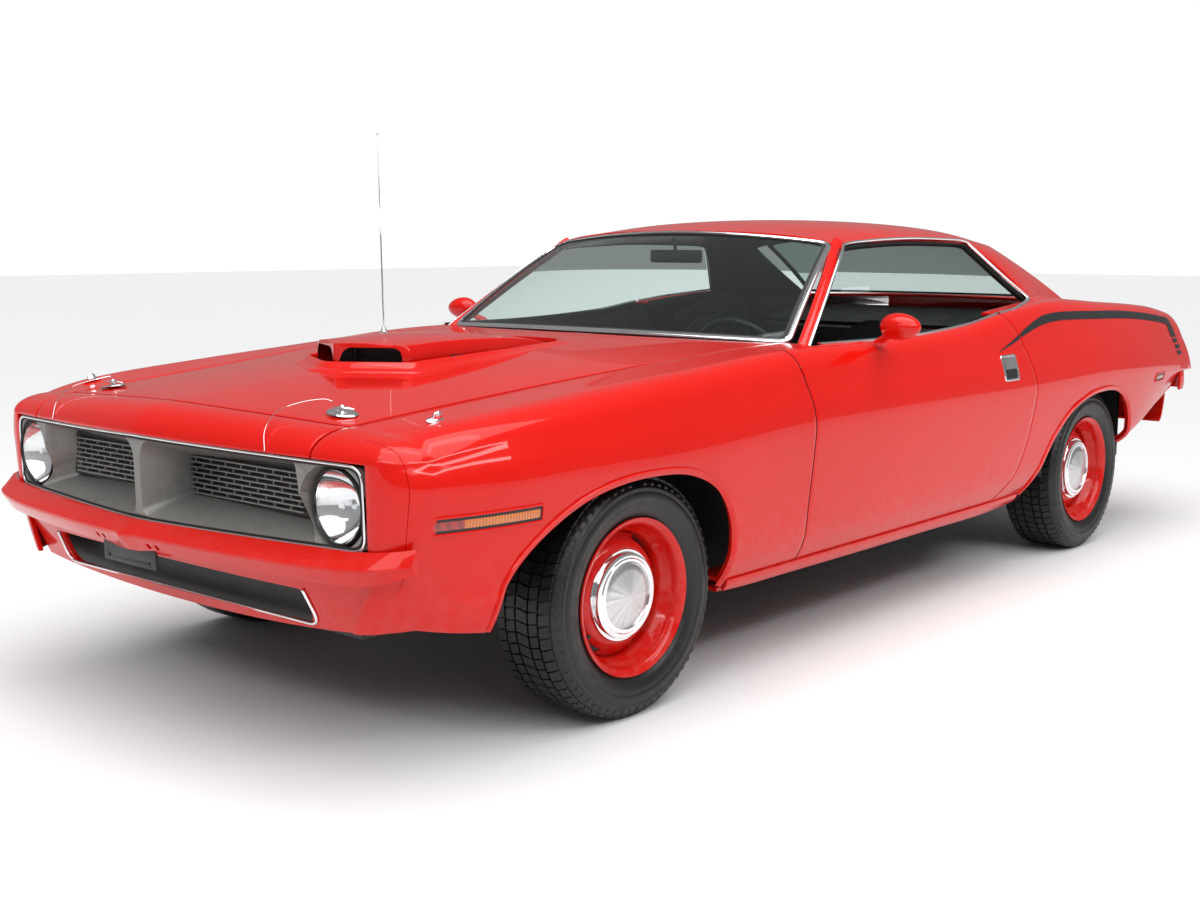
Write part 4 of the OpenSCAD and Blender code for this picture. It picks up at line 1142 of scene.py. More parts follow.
class MUSCLECAR_OT_front_bumper(CarPiece, bpy.types.Operator):
    """Wedge-shaped front bumper in body colour with upturned ends"""
    bl_idname = "muscle_car.front_bumper"
    bl_label = "Front Bumper"

    def build(self, settings):
        face = [[0, -2371], [45, -2362], [300, -2346], [600, -2312], [760, -2272], [830, -2238], [862, -2186]]
        back = [[0, -2314.3], [45, -2314.3], [300, -2286.3], [600, -2243.3], [752, -2221.3], [830, -2198],
                [862, -2166]]

        def ring(x):
            w = abs(x)
            f = curve(face, w)
            b = min(curve(back, w), face_y(w) - 2.3 + max(0, w - 752))
            tip = max(0, (w - 690) / 172)
            low, crest, high = 480 + 30 * tip ** 2.6, 522 + 8 * tip ** 2, 552 + 14 * tip ** 1.6
            return [(x, mix(f, b, 0.42), low), (x, mix(f, b, 0.12), low + 26), (x, f, crest - 5),
                    (x, f, crest + 2),
                    (x, mix(f, b, 0.5), mix(crest, high, 0.62)), (x, mix(f, b, 0.82), high), (x, b, high - 1),
                    (x, b, low + 8), (x, mix(f, b, 0.8), low)]
        xs = [mix(0, 690, k / 36) for k in range(37)] + [mix(690, 860,
                                                             math.sin(k / 16 * math.pi / 2)) for k in range(1,
                                                                                                            17)]
        xs = [-x for x in reversed(xs[1:])] + xs
        piece = drape("front_bumper", [ring(x) for x in xs])
        # Bolt holes for the plate in its middle.
        for side in (1, -1):
            for x in (100, 132):
                select_only()
                bpy.ops.mesh.primitive_cylinder_add(vertices=20, radius=0.0075, depth=0.03,
                                                    location=(side * x * MM, -2.352, 0.5),
                                                    rotation=(math.radians(90), 0, 0))
                hole = named("bolt_hole")
                bpy.ops.object.transform_apply(location=True, rotation=True, scale=True)
                cut(piece, hole)
        soften(piece, 4, 24, 3)
        finished(piece, "root", "paint", "front_bumper", angle=40)
        bracket = block("plate_bracket", (-115, -2342, 440), (115, -2336, 490))
        for side in (1, -1):
            hole = turned("hole", [(-20, 0.02), (-20, 3.5), (20, 3.5), (20, 0.02)], (0, 0, 0), 24)
            moved(hole, Matrix.Translation(Vector((side * 89, -2339,
                                                   455)) * MM) @ Matrix.Rotation(math.radians(90), 4, "Z"))
            cut(bracket, hole)
        finished(soften(bracket, 0.6), "root", "black_paint")


class MUSCLECAR_OT_front_valance(CarPiece, bpy.types.Operator):
    """Front valance with its long opening, bright lip and black duct"""
    bl_idname = "muscle_car.front_valance"
    bl_label = "Front Valance"

    def build(self, settings):
        def surface(x, t):
            u = x / 749.8
            return Vector((x, mix(-2260 + 44 * u ** 4, -2196 + 10 * u * u, t), mix(476, 322 + 30 * u * u, t)))
        piece = thicken(outwards(sheet("front_valance", 120, 24, lambda u,
                                       v: surface(mix(-749.5, 749.5, u), 1 - v))), 12)
        mouth = rounded([(-552, 350), (552, 350), (540, 440), (-540, 440)], [38, 38, 20, 20], 8)
        cut(piece, prism("mouth", mouth, -2400, -2100, "Y"))
        finished(tucked(soften(piece, 3, 40, 3)), "root", "paint", "front_valance")
        path, out = [], []
        for x, z in rounded([(-540, 438), (-552, 350), (552, 350), (540, 438)], [2, 38, 38, 2], 10):
            u = x / 749.8
            t = (476 - z) / (476 - 322 - 30 * u * u)
            path.append(surface(x, t) + Vector((0, -3, 0)))
        lip = swept("valance_lip", path, ring_profile(4, 4, 10), (0, -1, 0))
        finished(lip, "root", "chrome", angle=60)
        duct = block("valance_duct", (-640, -2150, 322), (640, -2110, 490))
        finished(duct, "root", "black_plastic")


class MUSCLECAR_OT_rear_panels(CarPiece, bpy.types.Operator):
    """Decklid, filler, tail panel, rear bumper, rear valance and tail lamps"""
    bl_idname = "muscle_car.rear_panels"
    bl_label = "Rear Panels"

    def build(self, settings):
        gap, wall = settings.panel_gap / MM, settings.panel_wall / MM
        share = 1 - gap / 630

        def lid(u, v):
            x = mix(-share, share, u)
            if v <= 0.9:
                return top_point(mix(1578, 2276, v / 0.9), x)
            t = (v - 0.9) / 0.1
            p = top_point(2276, x)
            return p + Vector((0, 14 * math.sin(t * math.pi / 2), -36 * (1 - math.cos(t * math.pi / 2))))
        piece = thicken(outwards(sheet("decklid", 72, 60, lid)), wall)
        lugs = [block("lug", (s * 120 - 20, 1562, 972), (s * 120 + 20, 1586, 982), 1.5) for s in (1, -1)]
        finished(joined("decklid", soften(piece, 1.4), *lugs), "decklid", "paint", "decklid")

        def filler(u, v):
            x = mix(-0.994, 0.994, u)
            y = mix(mix(1546, 1500, x * x) + 2, 1571, v)
            return top_point(y, x * (1 - 14 / 630 * (1 - v))) - Vector((0, 0, 1.0))
        piece = thicken(outwards(sheet("deck_filler", 72, 10, filler)), wall)
        finished(soften(piece, 1.2), "root", "paint", "deck_filler")

        def tail(u, v):
            x, z = mix(-1, 1, u), mix(656, 872, v)
            return (x * curve([[640, 882], [700, 876], [797, 846], [872, 786]], z),
                    tail_y(z) - 6 - 6 * x ** 4, z)
        piece = thicken(outwards_back(sheet("tail_panel", 72, 24, tail)), wall)
        finished(soften(piece, 1.4), "root", "paint", "tail_panel")

        def under(u, v):
            x, z = mix(-1, 1, u), mix(420, 646, v)
            t = (z - 420) / 220
            return (x * 830, 2190 + 120 * max(0, t) ** 0.6 - 60 * abs(x) ** 4 * t, z)
        piece = thicken(outwards_back(sheet("rear_valance", 72, 24, under)), wall)
        finished(soften(piece, 2), "root", "paint", "rear_valance")

        face = [[0, 2371], [300, 2370], [600, 2360], [800, 2332], [880, 2300], [908, 2250], [912, 2196]]
        back = [[0, 2349], [300, 2349], [600, 2343], [800, 2318], [872, 2286], [896, 2240], [898, 2196]]

        def at(table, u):
            keyed = [[i, *p] for i, p in enumerate(table)]
            k = abs(u) * (len(table) - 1)
            return math.copysign(curve(keyed, k, 1), u), curve(keyed, k, 2)

        def ring(u):
            f, b = at(face, u), at(back, u)
            m, q = [mix(f[k], b[k], 0.35) for k in (0, 1)], [mix(f[k], b[k], 0.08) for k in (0, 1)]
            return [(m[0], m[1], 566), (q[0], q[1], 586), (f[0], f[1], 603), (q[0], q[1], 622),
                    (m[0], m[1], 650),
                    (b[0], b[1], 650), (b[0], b[1], 570)]
        piece = drape("rear_bumper", [ring(mix(-1, 1, k / 96)) for k in range(97)])
        finished(soften(piece, 3, 24, 3), "root", "paint", "rear_bumper", angle=40)
        for z0 in (700, 756):
            for s in (1, -1):
                def lens(u, v, z0=z0, s=s):
                    x, z = mix(s * 0.5, s * 0.94, u if s > 0 else 1 - u), mix(z0, z0 + 48, v)
                    return (x * 810.4, tail_y(z) - 22 * x * x + 7, z)
                piece = thicken(outwards_back(sheet("tail_lens", 24, 8, lens)), 12)
                name = ("left" if s > 0 else "right") + "_tail_lamp_" + ("low" if z0 == 700 else "high")
                piece.name = name
                if name == "left_tail_lamp_low":
                    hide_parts("tail_lamps")
                finished(soften(piece, 3, 40, 3), "root", "red_lens")


def outwards_back(piece):
    """Turns an open sheet's faces towards the rear of the car."""
    total = sum(face.normal.y * face.area for face in piece.data.polygons)
    return flip(piece) if total < 0 else piece


# ---- Nose and lamps ----

class MUSCLECAR_OT_grille(CarPiece, bpy.types.Operator):
    """Deep argent grille surround with its mesh, bright outline and centre divider"""
    bl_idname = "muscle_car.grille"
    bl_label = "Grille"

    def build(self, settings):
        def top_z(x):
            return 756 - 15.5 * abs(x) / 740
        corners = [(-744, 550), (744, 550), (742, 738), (0, 756), (-742, 738)]
        outline = rounded(corners, [34, 34, 40, 4, 40], 8)
        # Slab that follows the face, cut by two tapered cavities and two lamp cones.
        slab = prism("grille_surround", dense(outline, 14), -2320, -2180, "Y")
        for vert in slab.data.vertices:
            x = vert.co.x / MM
            vert.co.y = (face_y(x) + (3 if vert.co.y < -2.25 else 128)) * MM
        for side in (1, -1):
            mouth = rounded([(13, 557), (606, 557), (560, 640), (548, 742), (13, 750)], [34, 22, 120, 22, 60],
                            9)
            back = rounded([(50, 600), (498, 600), (498, 650), (494, 702), (50, 702)], [12, 10, 10, 10, 12],
                           9)
            loops = []
            for t, lip in ((-0.25, 0), (0.0, 0), (0.06, 0), (0.5, 0), (1.0, 0), (1.25, 0)):
                k = min(1, max(0, t))
                ring = []
                for (x0, z0), (x1, z1) in zip(mouth, back):
                    x, z = mix(x0, x1, k), mix(z0, z1, k)
                    ring.append((side * x, face_y(x) + mix(0, 112, t), z))
                loops.append(ring)
            cut(slab, drape("cavity", loops))
            cone = turned("lamp_cone", [(-20, 0.02), (-20, 101), (40, 88), (60, 87), (120, 86), (120, 0.02)],
                          (0, 0, 0), 64)
            moved(cone, Matrix.Translation(Vector((side * 655, face_y(655) + 6,
                                                   642)) * MM) @ Matrix.Rotation(math.radians(90), 4, "Z"))
            cut(slab, cone)
        soften(slab, 3.2, 30, 3)
        finished(slab, "root", "argent", "grille_surround", angle=38)
        bars, beds = [], []
        for side in (1, -1):
            for k in range(settings.mesh_bars):
                z = mix(606, 696, k / (settings.mesh_bars - 1))
                bars.append(block("bar", (52 * side, -2192, z - 1.6), (496 * side, -2184, z + 1.6)))
            for k in range(14):
                x = side * mix(70, 480, k / 13)
                z = mix(606, 696, (k % (settings.mesh_bars - 1)) / (settings.mesh_bars - 1))
                for row in range(0, settings.mesh_bars - 1):
                    if (row + k) % 2 == 0:
                        z = mix(606, 696, row / (settings.mesh_bars - 1))
                        bars.append(block("tick", (x - 1.2, -2191, z),
                                          (x + 1.2, -2186, z + 90 / (settings.mesh_bars - 1))))
            beds.append(block("back", (40 * side, -2178, 594), (536 * side, -2172, 711)))
        finished(joined("grille_beds", *beds), "root", "black_plastic")
        finished(joined("grille_bars", *bars), "root", "argent", "grille_mesh")
        # Bright outline with a black line inside it.
        for name, inset, width, slot in (("grille_outline", 0, 3.4, "chrome"),
                                         ("grille_black_line", 6.0, 2.4, "rubber")):
            trimmed = rounded([(x * (1 - inset / 744), mix(z, 650, inset / 100)) for x, z in corners],
                              [34, 34, 40, 4, 40], 8)
            path = [(x, face_y(x) + (0.5 if inset == 0 else 1.6), z) for x, z in dense(trimmed, 24)]
            finished(swept(name, path, ring_profile(width, 2.6, 10), (0, -1, 0), loop=True), "root", slot,
                     angle=60)


def dense(outline, step):
    """A closed outline with points added so that no side is longer than the step."""
    result = []
    for i, p in enumerate(outline):
        q = outline[(i + 1) % len(outline)]
        n = max(1, math.ceil(math.dist(p, q) / step))
        result.extend((mix(p[0], q[0], k / n), mix(p[1], q[1], k / n)) for k in range(n))
    return [p for i, p in enumerate(result) if math.dist(p, result[i - 1]) > step * 0.004]


class MUSCLECAR_OT_lamps(CarPiece, bpy.types.Operator):
    """Sealed-beam headlamps, side markers and turn indicators"""
    bl_idname = "muscle_car.lamps"
    bl_label = "Lamps"

    def build(self, settings):
        turn = Matrix.Rotation(math.radians(-90), 4, "Z")
        at = Matrix.Translation(Vector((655, face_y(655) + 36, 642)) * MM)
        bowl = turned("headlamp_bowls", [(-20, 82), (-16, 84), (10, 70), (34, 40), (44, 8), (44, 0.02),
                                         (48, 0.02), (48, 12), (38, 44), (14, 76), (-16, 87), (-22, 85)],
                                         (0, 0, 0), 64)
        lens = turned("headlamp_lenses", lens_outline(), (0, 0, 0), 64)
        ring = turned("headlamp_rings", [(-22, 82), (-25, 83), (-26, 85.5), (-22, 87), (-8, 87), (-8, 83)],
                      (0, 0, 0), 72)
        bulb = turned("headlamp_shields", [(-6, 0.02), (-8, 10), (-2, 13), (22, 12), (22, 0.02)], (0, 0, 0),
                      32)
        for piece, slot, nodes in ((bowl, "chrome", ("headlamps",)), (lens, "lamp_glass", ()),
                                   (ring, "rubber", ()), (bulb, "chrome", ())):
            moved(piece, at @ Matrix.Rotation(math.radians(90), 4, "Z"))
            finished(mirrored(piece), "root", slot, *nodes, angle=50)
        for name, y0, y1, z, tall, lit in (("front", -2136, -1836, 605, 40, "amber_lens"),
                                           ("rear", 1850, 1958, 647, 34, "red_lens")):
            side_marker(name, y0, y1, z, tall, lit)
        base = turned("turn_indicators", [(0, 0.02), (0, 13), (3, 15), (6, 13), (10, 7), (26, 6), (32, 0.02)],
                      (0, 0, 0), 24)
        p = side_point(-1996, 4.2)
        moved(base, Matrix.Translation((p + Vector((0, 0, -1))) * MM) @ Matrix.Rotation(math.radians(-68), 4,
                                                                                        "Y")
              @ Matrix.Diagonal((0.8, 1.9, 1, 1)))
        finished(mirrored(base), "root", "chrome", angle=50)


def lens_outline():
    front = [(-30 + 8 * (r / 82) ** 2, r) for r in (0.02, 12, 26, 40, 54, 66, 76, 82)]
    return front + [(-18, 82)] + [(-18 + (-6) * (1 - (r / 82) ** 2), r) for r in (76, 60, 40, 20, 0.02)]


def side_marker(name, y0, y1, z, tall, slot):
    """A long lamp in a recessed frame on the body's side."""
    def on_side(y, height, proud):
        p = side_point(y, row_at_height(y, height))
        return p + Vector((proud, 0, 0))
    inset = 11
    lens = sheet(name + "_marker_lenses", 36, 6, lambda u, v: on_side(
        mix(y0 + inset, y1 - inset, u), mix(z - tall / 2 + 10, z + tall / 2 - 10, v),
        1.2 + 1.5 * math.sin(math.pi * v)))
    thicken(outwards(lens), 4)
    if slot == "amber_lens":
        finished(mirrored(lens), "root", slot, angle=50)
        lens.data.materials.append(FINISHES["red_lens"])
        for face in lens.data.polygons:
            if face.center.y / MM < mix(y0, y1, 0.3):
                face.material_index = 1
    else:
        finished(mirrored(lens), "root", slot, angle=50)
    outline = rounded([(y0, z - tall / 2), (y1, z - tall / 2), (y1, z + tall / 2), (y0, z + tall / 2)], 7, 4)
    path = [on_side(y, h, 0.6) for y, h in dense(outline, 12)]
    frame_piece = swept(name + "_marker_frames", path, [(-4, -2), (-3, 2.4), (0, 3.6), (3, 2.4), (4.4, -2)],
                        (1, 0, 0), loop=True)
    finished(mirrored(frame_piece), "root", "paint", angle=50)
    bed = sheet(name + "_marker_beds", 36, 3, lambda u, v: on_side(
        mix(y0 + 4, y1 - 4, u), mix(z - tall / 2 + 4, z + tall / 2 - 4, v), 0.7))
    finished(mirrored(thicken(outwards(bed), 2)), "root", "black_plastic")


# ---- Glass and bright trim ----

class MUSCLECAR_OT_glass(CarPiece, bpy.types.Operator):
    """Windshield and rear window with their bright surrounds and seals"""
    bl_idname = "muscle_car.glass"
    bl_label = "Glass"

    def build(self, settings):
        for name, top, base, bow, limit, node in (("windshield", HEADER, COWL, 14, 0.985, "windshield"),
                                                  ("rear_window", BACK_TOP, BACK_BASE, 10, 0.985,
                                                   "rear_window")):
            def at(u, v, lift=0.0, top=top, base=base, bow=bow):
                p = glass_point(top, base, bow, u, v)
                side = glass_point(top, base, bow, min(1, u + 0.01), v) - glass_point(top, base, bow,
                                                                                      u - 0.01, v)
                down = glass_point(top, base, bow, u, v + 0.01) - glass_point(top, base, bow, u, v - 0.01)
                normal = side.cross(down).normalized()
                return p + (normal if normal.z > 0 else -normal) * lift
            pane = sheet(name, 60, 30, lambda u, v: at(mix(-0.975, 0.975, u), mix(0.015, limit, v), 0.5))
            finished(thicken(outwards(pane), 5), "root", "glass", node)
            edge = rounded([(-0.985, 0.0), (0.985, 0.0), (0.985, 0.985), (-0.985, 0.985)],
                           [0.07, 0.07, 0.05, 0.05], 8)
            for part, inset, profile, lift, slot in (
                    ("_trim", 0.0, ((-10, -2), (-9, 1.5), (-5, 3.6), (0, 4.2), (3, 2.6), (5, 4.4), (8, 3.4),
                                    (9, -2)), 1.0, "chrome"),
                    ("_seal", 0.022, ((-6, -2), (-5, 2), (0, 3), (5, 2), (6, -2)), 0.8, "rubber")):
                loop = dense([(x * (1 - inset), mix(y, 0.5, inset * 1.6)) for x, y in edge], 0.02)
                path = [at(u, v, lift) for u, v in loop]
                out = [(at(u, v, 5) - at(u, v, 0)) for u, v in loop]
                finished(swept(name + part, path, profile, out, loop=True), "root", slot, angle=50)


def pillar_line(k):
    """The windshield pillar's middle, from the cowl, k = 0, to the roof's corner."""
    return Vector((770, -566, 902)).lerp(Vector((606, -134, 1206)),
                                         k) + Vector((10, 0, 6)) * 4 * k * (1 - k) * 0.6


def window_top(k):
    """The side opening's upper edge: up the pillar, back along the rail and down the sail."""
    points = [(786, -566, 905), (718, -372, 1044), (650, -186, 1176), (628, -120, 1204), (624, 60, 1216),
              (627, 271, 1222),
              (622, 520, 1219), (613, 700, 1212), (628, 760, 1182), (692, 868, 1086), (752, 962, 1004)]
    keyed = [[i, *p] for i, p in enumerate(points)]
    t = k * (len(points) - 1)
    return Vector((curve(keyed, t, 1), curve(keyed, t, 2), curve(keyed, t, 3)))


class MUSCLECAR_OT_bright_trim(CarPiece, bpy.types.Operator):
    """Drip rails, belt mouldings, pillars and the seals of the side openings"""
    bl_idname = "muscle_car.bright_trim"
    bl_label = "Pillars and Bright Trim"

    def build(self, settings):
        pillar = swept("windshield_pillars", [pillar_line(mix(-0.03, 1.03, k / 20)) for k in range(21)],
                       [(-20, -16), (-22, 2), (-14, 12), (0, 15), (14, 11), (20, 0), (18, -16)],
                       (0.75, -0.3, 0.6))
        finished(mirrored(soften(pillar, 2, 40)), "root", "paint", angle=50)
        rail = [window_top(k / 110) + Vector((5, 0, 3)) for k in range(111)]
        piece = swept("drip_rails", rail, [(-5, -4), (-6, 1), (-3, 4.4), (1, 5), (4, 2), (5, -4)],
                      (0.8, 0, 0.6))
        finished(mirrored(piece), "root", "chrome", angle=50)
        seal = [window_top(k / 110) + Vector((-10, 0, -9)) for k in range(111)]
        piece = swept("window_seals", seal, [(-14, -10), (-14, 4), (-7, 8), (0, 5), (4, 8), (10, 5),
                                             (10, -10)], (0.8, 0, 0.6))
        finished(mirrored(piece), "root", "rubber", angle=50)

        def belt(y0, y1, count, drop=0):
            return [side_point(mix(y0, y1, k / count),
                               4.0) + Vector((-3, 0, 3.5 - drop)) for k in range(count + 1)]
        profile = [(-7, -3), (-7, 1.5), (-3, 4), (3, 4), (7, 1.5), (7, -3)]
        door_belt = swept("left_belt_moulding", belt(-560, 545, 60), profile, (0.25, 0, 1))
        finished(door_belt, "left_door", "chrome", angle=50)
        finished(opposite(door_belt, "right_belt_moulding"), "right_door", "chrome", angle=50)
        rear = [side_point(y, 4.0) + Vector((-3, 0, 3.5)) for y in (560, 600, 650, 700)]
        rear += [side_point(y, mix(4.0, 5.0, t)).lerp(Vector((756, 972, 1000)),
                                                      t) + Vector((-3 * (1 - t), 0, 3.5))
                 for y, t in ((760, 0.15), (830, 0.38), (900, 0.66), (955, 0.9), (972, 1.0))]
        piece = swept("rear_belt_mouldings", smooth_path([tuple(p) for p in rear], 40), profile, (0.25, 0, 1))
        finished(mirrored(piece), "root", "chrome", angle=50)


class MUSCLECAR_OT_small_fittings(CarPiece, bpy.types.Operator):
    """Mirrors, door handles, hood pins with their lanyards, and the antenna"""
    bl_idname = "muscle_car.small_fittings"
    bl_label = "Small Fittings"

    def build(self, settings):
        select_only()
        bpy.ops.mesh.primitive_uv_sphere_add(segments=48, ring_count=28, radius=1)
        head = named("mirror_head")
        for vert in head.data.vertices:
            x, y, z = vert.co
            # Bullet head: blunt at the back, longer to the front.
            y = y * (0.62 if y > 0 else 0.86)
            vert.co = Vector((962 + 68 * x, -330 + 52 * y, 962 + 41 * z * (1 - 0.1 * x))) * MM
        stem = swept("mirror_stem", smooth_path([(874, -300, 908), (884, -304, 918), (912, -316, 932),
                                                 (944, -324, 946)], 16),
                     ring_profile(15, 11, 16), (0, 0, 1), size=lambda k: 1.5 - 1.4 * k + k * k)
        glass = turned("left_mirror_glass", [(0, 0.02), (0, 1), (2, 1), (2, 0.02)], (0, 0, 0), 40)
        moved(glass, Matrix.Translation(Vector((962, -303, 962)) * MM) @ Matrix.Diagonal((54, 1, 31, 1))
              @ Matrix.Rotation(math.radians(90), 4, "Z"))
        head = joined("left_mirror", head, stem)
        finished(head, "left_door", "paint", "left_mirror", angle=50)
        finished(opposite(head, "right_mirror"), "right_door", "paint", "right_mirror", angle=50)
        finished(glass, "left_door", "chrome", angle=50)
        finished(opposite(glass, "right_mirror_glass"), "right_door", "chrome", angle=50)

        # Flush door handles: a bright square frame with a flap and a finger recess.
        def on_door(y, z, proud=0.0):
            return side_point(y, row_at_height(y, z)) + Vector((proud, 0, proud * 0.25))
        frame_path = [on_door(y, z, 1.0) for y,
                      z in dense(rounded([(440, 740), (536, 740), (536, 822), (440, 822)], 8, 4), 10)]
        handle = swept("handle_frame", frame_path, [(-5, -2), (-4, 2), (0, 3.4), (4, 2), (5, -2)],
                       (1, 0, 0.2), loop=True)
        flap = sheet("handle_flap", 12, 10, lambda u,
                     v: on_door(mix(446, 530, u), mix(776, 817, v), 2.5 + 2.5 * (1 - v)))
        thicken(outwards(flap), 3)
        lower = sheet("handle_bed", 12, 10, lambda u, v: on_door(mix(446, 530, u), mix(745, 777, v), 0.8))
        thicken(outwards(lower), 2)
        button = block("handle_button", (905, 476, 752), (917, 502, 768), 3)
        handle = joined("left_handle", handle, flap, button)
        finished(handle, "left_door", "chrome", angle=50)
        finished(opposite(handle, "right_handle"), "right_door", "chrome", angle=50)
        lower.name = "left_handle_recess"
        finished(lower, "left_door", "rubber")
        finished(opposite(lower, "right_handle_recess"), "right_door", "rubber")

        # Hood pins: an oval scuff plate, the post with its clip, and a wire lanyard to the nose.
        for name, side in SIDES:
            x, y = 496 * side, -2070
            z = top_point(y, x / 600).z + 2
            plate = turned(name + "_pin_plate",
                           [(0, 0.02), (0, 34), (2.5, 38), (5, 36), (6, 30), (5, 24), (7, 14), (7, 0.02)],
                           (0, 0, 0), 48)
            tilt = Matrix.Rotation(math.radians(7 * side), 4, "Y") @ Matrix.Rotation(math.radians(3), 4, "X")
            moved(plate, Matrix.Translation(Vector((x, y, z)) * MM) @ tilt @ Matrix.Diagonal((1.15, 0.86, 1,
                                                                                              1)) @ Matrix.Rotation(math.radians(-90), 4, "Y"))
            post = turned("post", [(0, 0.02), (0, 6), (15, 6), (18, 3), (18, 0.02)], (0, 0, 0), 24)
            moved(post, Matrix.Translation(Vector((x, y, z + 4)) * MM) @ Matrix.Rotation(math.radians(-90), 4,
                                                                                         "Y"))
            clip = swept("clip", smooth_path([(x - 30, y - 6, z + 14), (x - 8, y - 8, z + 16),
                                              (x + 14, y - 2, z + 15), (x + 32, y + 8, z + 13),
                                              (x + 24, y + 14, z + 12), (x + 6, y + 9, z + 15),
                                              (x - 12, y + 8, z + 15), (x - 28, y + 4, z + 14)], 48),
                         ring_profile(1.6, 1.6, 8), (0, 0, 1))
            wire = [(466, -2268, 755), (446, -2250, 798), (424, -2200, 834), (428, -2140, 850),
                    (452, -2092, 856), (468, -2076, 851)]
            if side < 0:
                wire = [(-466, -2268, 755), (-492, -2236, 800), (-520, -2176, 830), (-520, -2110, 844),
                        (-500, -2080, 852), (-488, -2074, 850)]
            lanyard = swept("lanyard", smooth_path(wire, 40), ring_profile(0.9, 0.9, 6), (0, 0, 1))
            finished(joined(name + "_hood_pin", plate, post, clip, lanyard), "hood", "chrome", angle=50)

        base = side_point(-919, 4.7)
        at = Vector((-base.x, base.y, base.z + 1))
        foot = turned("antenna_foot", [(0, 0.02), (0, 12), (6, 12), (14, 8), (22, 5), (22, 0.02)], (0, 0, 0),
                      24)
        mast = turned("antenna_mast", [(0, 0.02), (0, 2.6), (330, 2.4), (332, 1.7), (660, 1.5), (662, 0.02)],
                      (0, 0, 0), 16)
        tip = turned("antenna_tip", [(0, 0.02), (1, 2), (4, 3.6), (8, 3.4), (11, 1.6), (12, 0.02)], (0, 0, 0),
                     16)
        up = Matrix.Rotation(math.radians(-90), 4, "Y")
        for piece, lift in ((foot, 0), (mast, 3), (tip, 661)):
            moved(piece, Matrix.Translation((at + Vector((0, 0, lift))) * MM) @ up)
        finished(joined("antenna", foot, mast, tip), "root", "chrome", "antenna", angle=50)


class MUSCLECAR_OT_stripes(CarPiece, bpy.types.Operator):
    """Side stripes along the shoulder of the quarters, starting to a point on the doors"""
    bl_idname = "muscle_car.stripes"
    bl_label = "Side Stripes"

    def build(self, settings):
        line = [[430, 836], [560, 868], [700, 905], [830, 930], [983, 938], [1300, 930], [1700, 914],
                [2040, 884], [2110, 872]]
        wide = settings.stripe_width / MM

        def width(y):
            return wide * min(1, max(0.02, (y - 428) / 420)) ** 0.9

        def at(y, z, proud):
            p = side_point(y, row_at_height(y, z))
            q = side_point(y, row_at_height(y, z) + 0.02)
            normal = Vector(((q - p).z, 0, -(q - p).x)).normalized()
            return p + (normal if normal.x > 0 else -normal) * proud
        for name, y0, y1, body in (("door_stripe", 432, None, "door"),
                                   ("quarter_stripe", None, 2120, "root")):
            def point(u, v, y0=y0, y1=y1):
                start = y0 if y0 else curve(DOOR_REAR, 872) + 6
                stop = y1 if y1 else curve(DOOR_REAR, 870) - 4
                y = mix(start, stop, u)
                middle = curve(line, y)
                return at(y, middle + (v - 0.5) * width(y), 0.8)
            strip = outwards(sheet(name, 90 if body == "root" else 20, 4, point))
            thicken(strip, 0.9, 1)
            if body == "root":
                finished(mirrored(strip), "root", "stripe")
            else:
                finished(strip, "left_door", "stripe")
                finished(opposite(strip, "right_" + name), "right_door", "stripe")
                strip.name = "left_" + name
        # The stripe turns down at the tail, over three plain blocks.
        down = outwards(sheet("stripe_turn", 14, 14, lambda u,
                              v: at(mix(2112, 2188, u) + 26 * v, mix(892 - 14 * u, 800, v), 0.8)))
        blocks = [outwards(sheet("stripe_block", 8, 8, lambda u, v,
                                 k=k: at(mix(2142, 2212, u) + 8 * k, mix(794 - 26 * k, 776 - 26 * k, v),
                                         0.8))) for k in range(3)]
        finished(mirrored(thicken(joined("stripe_tails", down, *blocks), 0.9, 1)), "root", "stripe")


# ---- Wheels ----

def tyre_blocks(settings):
    """One pitch of tread blocks, carried round the tyre."""
    pieces = []
    for low, high, skew in ((-88, -58, 6), (-52, -24, 4), (-18, 18, -4), (24, 52, 4), (58, 88, 6)):
        half = 318 * math.pi / settings.tread_pitches * 0.86
        piece = block("tread", (low, -half, 300), (high, half, 318))
        for vert in piece.data.vertices:
            x, y, z = vert.co / MM
            shoulder = max(0, (abs(x) - 70) / 18)
            z = z - shoulder * 4 if z > 310 else z
            r = math.sqrt(max(1, z * z - y * y)) if z > 310 else z
            vert.co = Vector((x, y + skew * (x - (low + high) / 2) / 20, r)) * MM
        pieces.append(piece)
    row = joined("tread_row", *pieces)
    edit(row)
    bpy.ops.mesh.spin(steps=settings.tread_pitches, angle=2 * math.pi, dupli=True, center=(0, 0, 0),
                      axis=(1, 0, 0))
    done()
    return row


